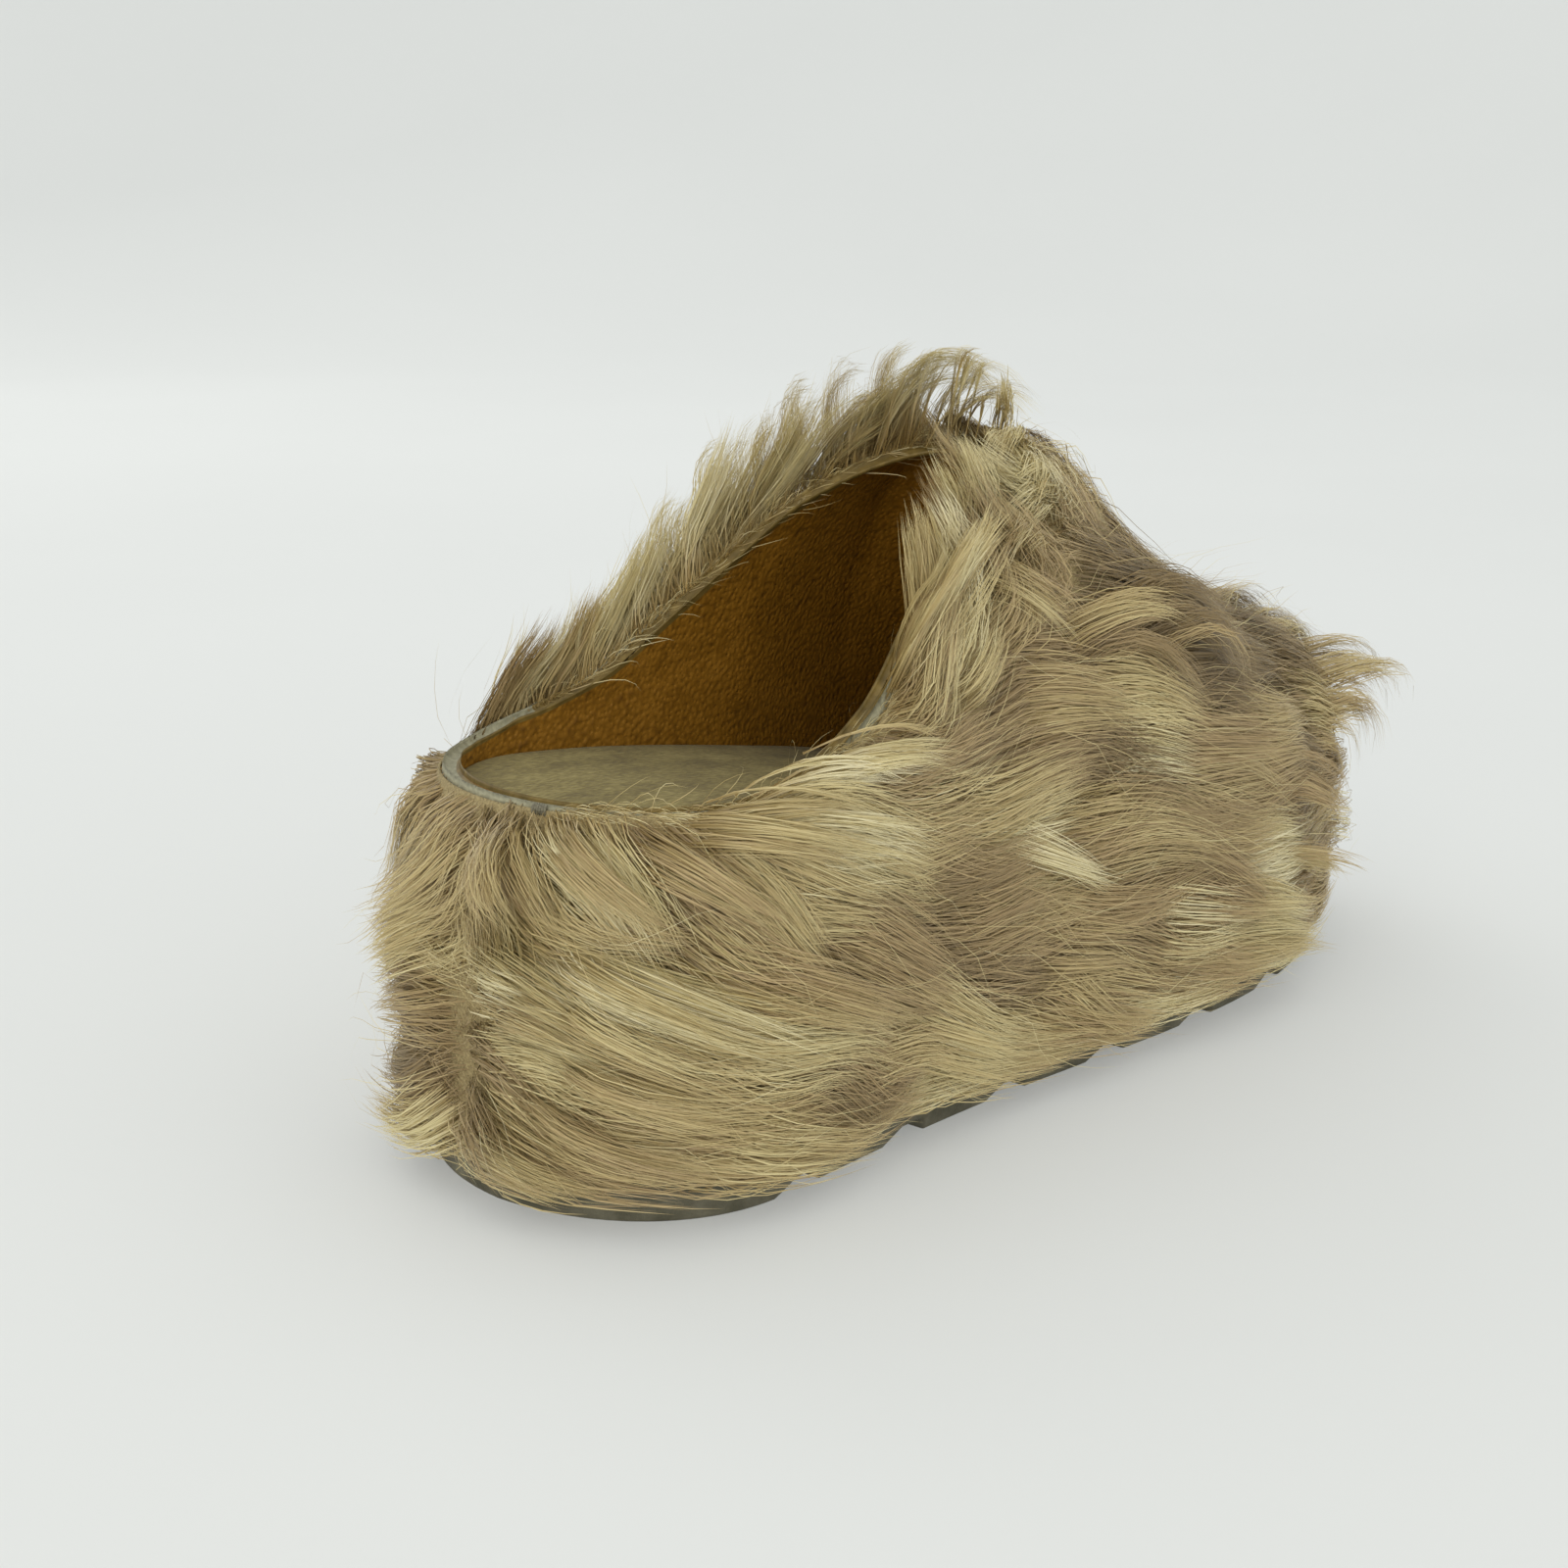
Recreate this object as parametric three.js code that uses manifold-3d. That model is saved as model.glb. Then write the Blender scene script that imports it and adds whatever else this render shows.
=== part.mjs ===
// Fur mule for the right foot: a wedge platform wrapped in long goat fur, under a fur upper
// that is open at the collar and low at the back. Millimetres, +X to the toe, +Y to the
// medial side, +Z up. The origin is on the floor under the middle of the first heel lug.
import * as THREE from "three";
import { mergeVertices } from "three/addons/utils/BufferGeometryUtils.js";
import Module from "manifold-3d";

const wasm = await Module();
wasm.setup();

// Sizes of the last and the sole
const soleLength = 256;
const ballWidth = 98;
const heelWidth = 79;
const heelRound = 37;
const toeRound = 77;
const toeSwing = 4;
const heelTreadCentre = 20;
const seatHeight = 72;
const ballSeatHeight = 41;
const outsoleThickness = 8;
const toeSpring = 8;
const toeSpringStart = 192;
const insoleThickness = 4;
const clearance = 0.3;

// Sizes of the tread
const lugPitch = 31.5;
const firstNotch = 32;
const notchWidth = 13;
const notchSlope = 6;
const notchDepth = 2.4;
const notchWallRun = 0.8;
const notchCount = 6;

// Sizes of the upper
const wallThickness = 2.6;
const upperInset = 1.5;
const wrapInset = 2;
const skirtHeelHeight = 47;
const skirtBallHeight = 26;
const heelCollarHeight = 75;
const throatHeight = 126;
const toeCrownHeight = 67;
const backLean = 3.2;
const throatShare = 0.555;
const domeStart = 0.8;

// Sizes of the fur
const wrapFurThickness = 6.5;
const furHem = 3;
const furTaper = 16;
const furEdgeShare = 0.25;
const lockLength = 36;
const lockWidth = 13;
const lockThickness = 5;
const lockLift = 3;
const tuftLength = 26;
const tuftWidth = 8;
const tuftLift = 7;
const tuftSink = 0.1;
const lockFloor = 1.5;

// How finely the surfaces are divided
const stationCount = 28;
const archSteps = 12;
const lockRings = 3;
const lockSides = 5;

// Half width of the sole. Columns: share of the length, then how far each side has grown
// from the heel's half width (0) to the ball's (1); below 0 is the hollow of the waist.
const outlineRows = [
  { at: 0, lateral: 0, medial: 0 },
  { at: 0.14, lateral: 0, medial: 0 },
  { at: 0.26, lateral: 0.03, medial: -0.14 },
  { at: 0.38, lateral: 0.2, medial: -0.3 },
  { at: 0.5, lateral: 0.55, medial: 0.15 },
  { at: 0.62, lateral: 0.9, medial: 0.68 },
  { at: 0.7, lateral: 1, medial: 0.92 },
  { at: 0.8, lateral: 0.97, medial: 0.97 },
  { at: 1, lateral: 0.88, medial: 0.9 },
];

// Fall of the footbed from the heel seat (1) to the ball (0); the skirt's edge falls with it.
const seatRows = [
  { at: 0, seat: 1 },
  { at: 0.1, seat: 0.985 },
  { at: 0.2, seat: 0.91 },
  { at: 0.3, seat: 0.79 },
  { at: 0.4, seat: 0.64 },
  { at: 0.5, seat: 0.46 },
  { at: 0.6, seat: 0.26 },
  { at: 0.7, seat: 0.09 },
  { at: 0.8, seat: 0 },
  { at: 1, seat: 0.03 },
];

// Crown of the upper from the toe's height (0) to the throat's (1), and how square each
// section is (2 is an ellipse). Over the heel the crown is only the top of the open arch.
const crownRows = [
  { at: 0, crown: 0.38, square: 4.2 },
  { at: 0.2, crown: 0.58, square: 3.8 },
  { at: 0.33, crown: 0.83, square: 3.1 },
  { at: 0.44, crown: 0.98, square: 2.6 },
  { at: 0.555, crown: 1, square: 2.4 },
  { at: 0.605, crown: 0.82, square: 2.35 },
  { at: 0.664, crown: 0.53, square: 2.35 },
  { at: 0.72, crown: 0.34, square: 2.4 },
  { at: 0.78, crown: 0.23, square: 2.45 },
  { at: 0.84, crown: 0.17, square: 2.5 },
  { at: 0.9, crown: 0.1, square: 2.6 },
  { at: 1, crown: 0, square: 2.7 },
];

// Topline of each side from the heel collar's height (0) to the throat's (1).
const collarRows = [
  { at: 0, lateral: 0, medial: 0 },
  { at: 0.08, lateral: 0, medial: 0 },
  { at: 0.156, lateral: 0.05, medial: 0.05 },
  { at: 0.234, lateral: 0.2, medial: 0.14 },
  { at: 0.313, lateral: 0.48, medial: 0.38 },
  { at: 0.39, lateral: 0.74, medial: 0.64 },
  { at: 0.47, lateral: 0.9, medial: 0.85 },
  { at: 0.525, lateral: 0.955, medial: 0.935 },
  { at: 0.547, lateral: 0.985, medial: 0.975 },
  { at: 0.555, lateral: 1.02, medial: 1.02 },
];

// Thickness of the fur coat on the upper, in mm, along the length.
const coatRows = [
  { at: 0, coat: 6.5 },
  { at: 0.3, coat: 7 },
  { at: 0.55, coat: 8 },
  { at: 0.75, coat: 10 },
  { at: 1, coat: 13 },
];

// A smooth curve through one column of a table, which never passes the rows' own values.
function along(rows, column) {
  const at = rows.map((row) => row.at);
  const value = rows.map((row) => row[column]);
  const slope = at.slice(1).map((_, i) => (value[i + 1] - value[i]) / (at[i + 1] - at[i]));
  const tangent = at.map((_, i) => {
    const before = slope[Math.max(i - 1, 0)];
    const after = slope[Math.min(i, slope.length - 1)];
    return before * after <= 0 ? 0 : (2 * before * after) / (before + after);
  });
  return (share) => {
    let i = 0;
    while (i < at.length - 2 && share > at[i + 1]) i += 1;
    const span = at[i + 1] - at[i];
    const t = THREE.MathUtils.clamp((share - at[i]) / span, 0, 1);
    const ease = t * t * (3 - 2 * t);
    const leave = t * (1 - t) * (1 - t);
    const arrive = t * t * (t - 1);
    const rise = value[i] + (value[i + 1] - value[i]) * ease;
    return rise + span * (tangent[i] * leave + tangent[i + 1] * arrive);
  };
}

const growth = { lateral: along(outlineRows, "lateral"), medial: along(outlineRows, "medial") };
const collarRise = { lateral: along(collarRows, "lateral"), medial: along(collarRows, "medial") };
const seatFall = along(seatRows, "seat");
const crownRise = along(crownRows, "crown");
const squareness = along(crownRows, "square");
const coatThickness = along(coatRows, "coat");

const seatZ = (share) => THREE.MathUtils.lerp(ballSeatHeight, seatHeight, seatFall(share));
const skirtZ = (share) => THREE.MathUtils.lerp(skirtBallHeight, skirtHeelHeight, seatFall(share));
const crownZ = (share) => THREE.MathUtils.lerp(toeCrownHeight, throatHeight, crownRise(share));
const collarZ = (share, side) =>
  THREE.MathUtils.lerp(heelCollarHeight, throatHeight, collarRise[side](share));

// Height of the sole's underside: flat on the floor, then a rounded rise under the toe.
function treadZ(share) {
  const past = Math.max(0, share * soleLength - toeSpringStart);
  return toeSpring * (past / (soleLength - toeSpringStart)) ** 2;
}

// Shares of the length, close together at the heel's back and the toe, where the form turns.
function stations(count) {
  return Array.from({ length: count + 1 }, (_, i) => (1 - Math.cos((Math.PI * i) / count)) / 2);
}

// How much of the full width is left at a share: a round heel and a blunter round toe.
function endRounding(share) {
  const distance = share * soleLength;
  const toHeel = THREE.MathUtils.clamp(1 - distance / heelRound, 0, 1);
  const toToe = THREE.MathUtils.clamp(1 - (soleLength - distance) / toeRound, 0, 1);
  return Math.sqrt(1 - toHeel ** 2.2) * Math.sqrt(1 - toToe ** 3.5);
}

// How much of the crown's height is left at a share: the toe comes down as a blunt dome.
function toeDome(share) {
  const t = THREE.MathUtils.clamp((share - domeStart) / (1 - domeStart), 0, 1);
  return Math.sqrt(1 - t ** 4.2);
}

// Half width of one side at a share, drawn in by an inset (out where it is negative).
function halfWidth(share, side, inset) {
  const heelHalf = heelWidth / 2;
  const full = THREE.MathUtils.lerp(heelHalf, ballWidth / 2, growth[side](share));
  return (full - inset) * endRounding(share);
}

// Where the middle of a section lies: the toe's centre swings to the medial side.
function centreY(share) {
  const toToe = Math.max(0, 1 - ((1 - share) * soleLength) / toeRound);
  return toeSwing * toToe ** 1.5;
}

const stationX = (share, inset) =>
  inset + share * (soleLength - 2 * inset) - heelTreadCentre;

// A closed solid through sections, each a list of [x, y, z] going anticlockwise seen from the
// toe. An end section that has shrunk to a line or a point needs no cap.
function loft(sections) {
  const count = sections[0].length;
  const triangles = [];
  for (let i = 0; i < sections.length - 1; i += 1) {
    for (let j = 0; j < count; j += 1) {
      const a = i * count + j;
      const b = i * count + ((j + 1) % count);
      triangles.push([a, b, b + count], [a, b + count, a + count]);
    }
  }
  const capOf = (section) =>
    THREE.ShapeUtils.triangulateShape(section.map(([, y, z]) => new THREE.Vector2(y, z)), []);
  const areaOf = (section) =>
    Math.abs(THREE.ShapeUtils.area(section.map(([, y, z]) => new THREE.Vector2(y, z))));
  const last = sections.length - 1;
  if (areaOf(sections[0]) > 1e-3) {
    capOf(sections[0]).forEach(([a, b, c]) => triangles.push([a, c, b]));
  }
  if (areaOf(sections[last]) > 1e-3) {
    const base = last * count;
    capOf(sections[last]).forEach(([a, b, c]) => triangles.push([base + a, base + b, base + c]));
  }
  return solidOf(sections.flat(), triangles);
}

// Points and triangles as a solid: equal points are merged, and triangles that have shrunk
// to a line are left out.
function solidOf(points, triangles) {
  const geometry = new THREE.BufferGeometry();
  geometry.setAttribute("position", new THREE.Float32BufferAttribute(points.flat(), 3));
  geometry.setIndex(triangles.flat());
  return fromGeometry(geometry);
}

function fromGeometry(geometry) {
  geometry.deleteAttribute("normal");
  geometry.deleteAttribute("uv");
  const merged = mergeVertices(geometry, 1e-4);
  const index = Array.from(merged.index.array);
  const kept = [];
  for (let i = 0; i < index.length; i += 3) {
    const [a, b, c] = index.slice(i, i + 3);
    if (a !== b && b !== c && c !== a) kept.push(a, b, c);
  }
  const mesh = new wasm.Mesh({
    numProp: 3,
    vertProperties: merged.attributes.position.array,
    triVerts: new Uint32Array(kept),
  });
  return new wasm.Manifold(mesh);
}

// A slab of the sole's outline between two heights that change along the length.
function slab(inset, lowZ, highZ) {
  return loft(
    stations(stationCount).map((share) => {
      const x = stationX(share, inset);
      const lateral = centreY(share) - halfWidth(share, "lateral", inset);
      const medial = centreY(share) + halfWidth(share, "medial", inset);
      return [
        [x, lateral, lowZ(share)],
        [x, medial, lowZ(share)],
        [x, medial, highZ(share)],
        [x, lateral, highZ(share)],
      ];
    }),
  );
}

// A point of the upper's outer form, drawn in by an inset. The angle goes from 0 at the
// medial edge, over the crown, to pi at the lateral edge.
function upperPoint(share, angle, inset) {
  const side = angle < Math.PI / 2 ? "medial" : "lateral";
  const power = 2 / squareness(share);
  const across = Math.sign(Math.cos(angle)) * Math.abs(Math.cos(angle)) ** power;
  const up = Math.sign(Math.sin(angle)) * Math.abs(Math.sin(angle)) ** power;
  const drawn = upperInset + inset;
  const base = skirtZ(share);
  const rise = Math.max(crownZ(share) - base - inset, 1) * toeDome(share);
  const towardsBack = Math.max(0, 1 - (share * soleLength) / heelRound);
  const rearRise = (up * rise) / (heelCollarHeight - skirtHeelHeight);
  const lean = backLean * Math.min(rearRise, 1.5) ** 2 * towardsBack ** 2;
  return [
    stationX(share, drawn) + lean,
    centreY(share) + across * halfWidth(share, side, drawn),
    base + up * rise,
  ];
}

// The whole form inside the upper's surface, as if it had no opening. The skirt carries its
// lower edge straight down by a length.
function upperForm(insetAt, skirt) {
  return loft(
    stations(stationCount).map((share) => {
      const arch = Array.from({ length: archSteps + 1 }, (_, j) => {
        const angle = (Math.PI * j) / archSteps;
        return upperPoint(share, angle, insetAt(share, angle));
      });
      const [x, medial, base] = arch[0];
      const lateral = arch[archSteps][1];
      const hem = [
        [x, lateral, base - skirt],
        [x, medial, base - skirt],
      ];
      return skirt > 0 ? [...arch, ...hem] : arch;
    }),
  );
}

// What the collar takes away: all that lies above the topline.
function collarCut() {
  const reach = 90;
  const top = throatHeight + reach;
  const count = 18;
  const shares = Array.from({ length: count + 1 }, (_, i) => (throatShare * i) / count);
  const section = (share, x) => {
    const lateralZ = collarZ(share, "lateral");
    const medialZ = collarZ(share, "medial");
    return [
      [x, -reach, lateralZ],
      [x, centreY(share) - halfWidth(share, "lateral", upperInset), lateralZ],
      [x, centreY(share) + halfWidth(share, "medial", upperInset), medialZ],
      [x, reach, medialZ],
      [x, reach, top],
      [x, -reach, top],
    ];
  };
  return loft([section(0, -reach), ...shares.map((share) => section(share, stationX(share, 0)))]);
}

// How far the fur coat's surface stands out of the upper, as a negative inset: full over the
// form and thinned to a share of that at the topline.
function coatInset(share, angle) {
  const side = angle < Math.PI / 2 ? "medial" : "lateral";
  const below = collarZ(share, side) - upperPoint(share, angle, 0)[2];
  const left = THREE.MathUtils.clamp(below / furTaper, furEdgeShare ** 2, 1);
  return -coatThickness(share) * Math.sqrt(left);
}

// All that lies above the skirt's edge, moved by an offset.
function aboveSkirt(offset) {
  const reach = 120;
  const past = 0.15;
  const count = 24;
  const share = (i) => THREE.MathUtils.lerp(-past, 1 + past, i / count);
  const shares = Array.from({ length: count + 1 }, (_, i) => share(i));
  return loft(
    shares.map((share) => {
      const x = stationX(share, 0);
      const edge = skirtZ(THREE.MathUtils.clamp(share, 0, 1)) + offset;
      return [
        [x, -reach, edge],
        [x, reach, edge],
        [x, reach, edge + reach],
        [x, -reach, edge + reach],
      ];
    }),
  );
}

// Same value between 0 and 1 each time for the same number, for the locks' small differences.
function chance(seed) {
  const wave = Math.sin(seed * 127.1 + 311.7) * 43758.5453;
  return wave - Math.floor(wave);
}

// A size made larger or smaller by up to a share of itself.
const varied = (size, share, seed) => size * (1 - share + 2 * share * chance(seed));

// A place on a surface, from the surface's own function of a share and a height step: the
// point, the outward normal, and the direction across a run that goes forward and down.
function placeOn(surface, share, step, heading) {
  const small = 0.004;
  const at = (ds, dt) => new THREE.Vector3(...surface(share + ds, step + dt));
  const point = at(0, 0);
  const alongLength = at(small, 0).sub(at(-small, 0)).normalize();
  const upwards = at(0, small).sub(at(0, -small)).normalize();
  const normal = new THREE.Vector3().crossVectors(alongLength, upwards).normalize();
  const middle = new THREE.Vector3(point.x, 0, ballSeatHeight);
  if (normal.dot(point.clone().sub(middle)) < 0) normal.negate();
  const flow = alongLength
    .multiplyScalar(heading.forward)
    .addScaledVector(upwards, -heading.down)
    .normalize();
  return { point, normal, across: new THREE.Vector3().crossVectors(normal, flow).normalize() };
}

// One lock of hair: its root is sunk in the coat, it follows the surface along its heading,
// lifts off it and comes to a point. Grow makes it thicker all round.
function lock(surface, share, step, heading, size, seed, grow) {
  const length = varied(size.length, 0.2, seed);
  const half = varied(size.width / 2, 0.15, seed + 1) + grow;
  const thick = varied(lockThickness / 2, 0.15, seed + 2) + grow;
  const lift = varied(size.lift, 0.3, seed + 3);
  const sway = length * 0.3 * (chance(seed + 4) - 0.5);
  const points = [];
  const turn = (2 * Math.PI) / lockSides;
  for (let i = 0; i <= lockRings; i += 1) {
    const t = i / lockRings;
    const s = Math.min(share + (heading.forward * length * t) / soleLength, 0.99);
    const h = step - (heading.down * length * t) / heading.height;
    const { point, normal, across } = placeOn(surface, s, h, heading);
    const middle = point
      .addScaledVector(normal, lift * t ** 1.4 - lockThickness * 0.4 * (1 - t))
      .addScaledVector(across, sway * t * t);
    const full = i === lockRings ? 0 : Math.sin(Math.PI * (0.25 + 0.72 * t));
    for (let j = 0; j < (full > 0 ? lockSides : 1); j += 1) {
      const ringPoint = middle
        .clone()
        .addScaledVector(across, half * full * Math.cos(turn * j))
        .addScaledVector(normal, thick * full * Math.sin(turn * j));
      points.push(ringPoint.setZ(Math.max(ringPoint.z, lockFloor - grow)).toArray());
    }
  }
  const triangles = [];
  const tip = points.length - 1;
  const last = (lockRings - 1) * lockSides;
  for (let j = 0; j < lockSides; j += 1) {
    const next = (j + 1) % lockSides;
    for (let i = 0; i < lockRings - 1; i += 1) {
      const a = i * lockSides + j;
      const b = i * lockSides + next;
      triangles.push([a, b, b + lockSides], [a, b + lockSides, a + lockSides]);
    }
    triangles.push([last + j, last + next, tip]);
    if (j > 0 && j < lockSides - 1) triangles.push([0, j + 1, j]);
  }
  const solid = solidOf(points, triangles);
  return solid.volume() > 0 ? solid : solidOf(points, triangles.map(([a, b, c]) => [a, c, b]));
}

// A row of locks on a surface, spread evenly between two shares with small differences.
function lockRow(row, rowNumber, surface, start, size, grow) {
  return Array.from({ length: row.count }, (_, i) => {
    const seed = rowNumber * 97 + i * 11;
    const share = THREE.MathUtils.lerp(row.from, row.to, (i + 0.6 * chance(seed)) / row.count);
    return lock(surface, share, start(share), row, size, seed, grow);
  });
}

// Locks on the upper. Columns: the step that they start from (0 at the edge, 1 at the crown),
// the shares that the row runs between, how many on each side, how strongly they head down
// and to the toe, and the mm of surface from edge to crown.
const upperLockRows = [
  { start: 0.14, from: 0.01, to: 0.8, count: 7, down: 0.3, forward: 0.95, height: 90 },
  { start: 0.36, from: 0.14, to: 0.82, count: 6, down: 0.3, forward: 0.95, height: 90 },
  { start: 0.62, from: 0.46, to: 0.8, count: 3, down: 0.05, forward: 1, height: 90 },
  { start: 0.88, from: 0.58, to: 0.8, count: 1, down: 0.2, forward: 1, height: 90 },
  { start: 0.62, from: 0.87, to: 0.97, count: 2, down: 1, forward: 0.15, height: 80 },
];

// Tufts that stand up along the topline of each side, with the same columns.
const tuftRows = [
  { side: "lateral", from: 0.3, to: 0.52, count: 4, down: -0.9, forward: 0.1, height: 90 },
  { side: "medial", from: 0.16, to: 0.54, count: 6, down: -0.6, forward: 0.7, height: 90 },
];

function coatSurface(side) {
  return (share, step) => {
    const quarter = (Math.PI / 2) * step;
    const angle = side === "medial" ? quarter : Math.PI - quarter;
    return upperPoint(share, angle, coatInset(share, angle));
  };
}

// The step on the upper's arch at which one side reaches its topline.
function toplineStep(share, side) {
  const base = skirtZ(share);
  const up = Math.min((collarZ(share, side) - base) / (crownZ(share) - base), 1);
  return Math.asin(up ** (squareness(share) / 2)) / (Math.PI / 2);
}

function upperLocks(grow) {
  const size = { length: lockLength, width: lockWidth, lift: lockLift };
  return ["lateral", "medial"].flatMap((side, sideNumber) =>
    upperLockRows.flatMap((row, rowNumber) =>
      lockRow(row, 10 * sideNumber + rowNumber, coatSurface(side), () => row.start, size, grow),
    ),
  );
}

function toplineTufts() {
  const size = { length: tuftLength, width: tuftWidth, lift: tuftLift };
  return tuftRows.flatMap((row, rowNumber) => {
    const start = (share) => toplineStep(share, row.side) - tuftSink;
    return lockRow(row, 30 + rowNumber, coatSurface(row.side), start, size, 0);
  });
}

// A point of the fur wrap's outer surface: full in the middle, drawn in at both edges. The
// height step goes from 0 at the outsole to 1 at the skirt's edge.
function wrapPoint(share, side, step) {
  const low = treadZ(share) + outsoleThickness + clearance;
  const high = skirtZ(share) - clearance;
  const bulge = Math.sqrt(Math.max(0, 1 - (2 * step - 1) ** 4));
  const out = furHem + (wrapFurThickness - furHem) * bulge;
  const sign = side === "medial" ? 1 : -1;
  return [
    stationX(share, -out),
    centreY(share) + sign * halfWidth(share, side, -out),
    THREE.MathUtils.lerp(low, high, step),
  ];
}

const wrapSteps = [0, 0.2, 0.8, 1];

function wrapForm() {
  return loft(
    stations(stationCount).map((share) => [
      ...wrapSteps.map((step) => wrapPoint(share, "medial", step)),
      ...[...wrapSteps].reverse().map((step) => wrapPoint(share, "lateral", step)),
    ]),
  );
}

// Locks on the platform's wrap, with the columns of the upper's.
const wrapLockRows = [
  { start: 0.75, from: 0.01, to: 0.8, count: 7, down: 0.3, forward: 0.95, height: 30 },
  { start: 0.4, from: 0.04, to: 0.8, count: 6, down: 0.25, forward: 0.95, height: 30 },
  { start: 0.8, from: 0.87, to: 0.96, count: 1, down: 0.7, forward: 0.5, height: 30 },
];

function wrapLocks() {
  const size = { length: lockLength, width: lockWidth, lift: lockLift };
  return ["lateral", "medial"].flatMap((side, sideNumber) => {
    const surface = (share, step) => wrapPoint(share, side, step);
    return wrapLockRows.flatMap((row, rowNumber) =>
      lockRow(row, 50 + 10 * sideNumber + rowNumber, surface, () => row.start, size, 0),
    );
  });
}

function joined(solids) {
  return solids.reduce((whole, part) => whole.add(part));
}

// The largest body of a solid: a cut can leave crumbs beside it.
function mainBody(solid) {
  return solid.decompose().reduce((a, b) => (b.volume() > a.volume() ? b : a));
}

// Rubber outsole: the true outline with the toe spring, and shallow notches across the tread
// that leave a row of lugs. Each notch slopes up from its heel side and ends in a wall.
function makeOutsole() {
  const body = slab(0, treadZ, (share) => treadZ(share) + outsoleThickness);
  const notches = Array.from({ length: notchCount }, (_, i) => {
    const start = firstNotch + i * lugPitch - heelTreadCentre;
    const share = (firstNotch + i * lugPitch + notchWidth / 2) / soleLength;
    const top = treadZ(Math.min(share, 1)) + notchDepth;
    const profile = new THREE.Shape([
      new THREE.Vector2(start, -notchDepth),
      new THREE.Vector2(start, Math.max(0, top - notchDepth)),
      new THREE.Vector2(start + notchSlope, top),
      new THREE.Vector2(start + notchWidth - notchWallRun, top),
      new THREE.Vector2(start + notchWidth, -notchDepth),
    ]);
    const options = { depth: 2 * ballWidth, bevelEnabled: false };
    const geometry = new THREE.ExtrudeGeometry(profile, options);
    geometry.translate(0, 0, -ballWidth).rotateX(Math.PI / 2);
    return fromGeometry(geometry);
  });
  return body.subtract(joined(notches));
}

// Wedge platform: inside the fur wrap up to the skirt's edge, and above it the narrower part
// that fills the upper's skirt under the insole.
function makePlatform() {
  const low = (share) => treadZ(share) + outsoleThickness + clearance;
  const high = (share) => seatZ(share) - insoleThickness - clearance;
  const inside = upperForm(() => wallThickness + clearance, seatHeight);
  const wide = slab(wrapInset, low, (share) => skirtZ(share) - clearance);
  const narrow = slab(wrapInset, low, high).intersect(inside);
  return wide.add(narrow);
}

// Suede insole on the platform, within the upper's wall.
function makeInsole() {
  const inside = upperForm(() => wallThickness + clearance, seatHeight);
  const bottom = (share) => seatZ(share) - insoleThickness;
  return slab(upperInset, bottom, seatZ).intersect(inside);
}

// The upper: one hollow wall, open underneath and at the collar.
function makeUpper() {
  const outer = upperForm(() => 0, 0);
  const inner = upperForm(() => wallThickness, seatHeight);
  return mainBody(outer.subtract(inner).subtract(collarCut()));
}

// Fur of the upper: a coat over the wall, thinned towards the topline, with locks fused on.
// The tufts stand above the topline, so they join after the collar is cut.
function makeUpperFur() {
  const coat = upperForm(coatInset, 0);
  const skin = upperForm(() => -clearance, seatHeight);
  const furry = joined([coat, ...upperLocks(0)]).subtract(skin).subtract(collarCut());
  const sole = slab(-clearance, () => -1, (share) => skirtZ(share) + clearance);
  return mainBody(furry.add(joined(toplineTufts()).subtract(skin)).subtract(sole));
}

// Fur of the platform: a rounded band between outsole and skirt, with locks fused on.
function makePlatformFur() {
  const low = (share) => treadZ(share) - 1;
  const core = slab(wrapInset - clearance, low, () => seatHeight);
  const outsoleTop = (share) => treadZ(share) + outsoleThickness + clearance;
  const outsoleRoom = slab(-clearance, low, outsoleTop);
  const overhang = joined([aboveSkirt(-clearance), ...upperLocks(clearance)]);
  const furry = joined([wrapForm(), ...wrapLocks()]).subtract(overhang);
  return mainBody(furry.subtract(core).subtract(outsoleRoom));
}

const looks = {
  outsole: { color: 0x5c5a46, roughness: 0.75 },
  platform: { color: 0x8a8672, roughness: 0.85 },
  insole: { color: 0x7d7455, roughness: 0.95 },
  upper: { color: 0x8a6425, roughness: 0.6 },
  upper_fur: { color: 0xc4b68c, roughness: 0.9 },
  platform_fur: { color: 0xb8aa80, roughness: 0.9 },
};

function piece(name, solid) {
  const mesh = solid.getMesh();
  const geometry = new THREE.BufferGeometry();
  geometry.setAttribute("position", new THREE.BufferAttribute(mesh.vertProperties, 3));
  geometry.setIndex(new THREE.BufferAttribute(mesh.triVerts, 1));
  geometry.computeVertexNormals();
  const material = new THREE.MeshStandardMaterial({ metalness: 0, ...looks[name] });
  const made = new THREE.Mesh(geometry, material);
  made.name = name;
  return made;
}

const mule = new THREE.Group();
mule.add(piece("outsole", makeOutsole()));
mule.add(piece("platform", makePlatform()));
mule.add(piece("insole", makeInsole()));
mule.add(piece("upper", makeUpper()));
mule.add(piece("upper_fur", makeUpperFur()));
mule.add(piece("platform_fur", makePlatformFur()));

export default mule;
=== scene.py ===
# %% [markdown]
# # A platform mule in long goat hair
# The real shoe is a backless clog. A foam wedge is wrapped in a band of goat hide, a second
# piece of hide makes the upper, and both carry silky hair some 25 to 40 mm long. Inside is a
# tan leather lining and a suede footbed, underneath a lugged rubber outsole. This lesson
# dresses the plain solids: it makes each surface as a function of two parameters, then plants
# about a hundred thousand hairs on the hide and combs them.

# %% Load the frame
import math

import bmesh
import bpy
import numpy as np
from mathutils import Matrix


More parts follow.
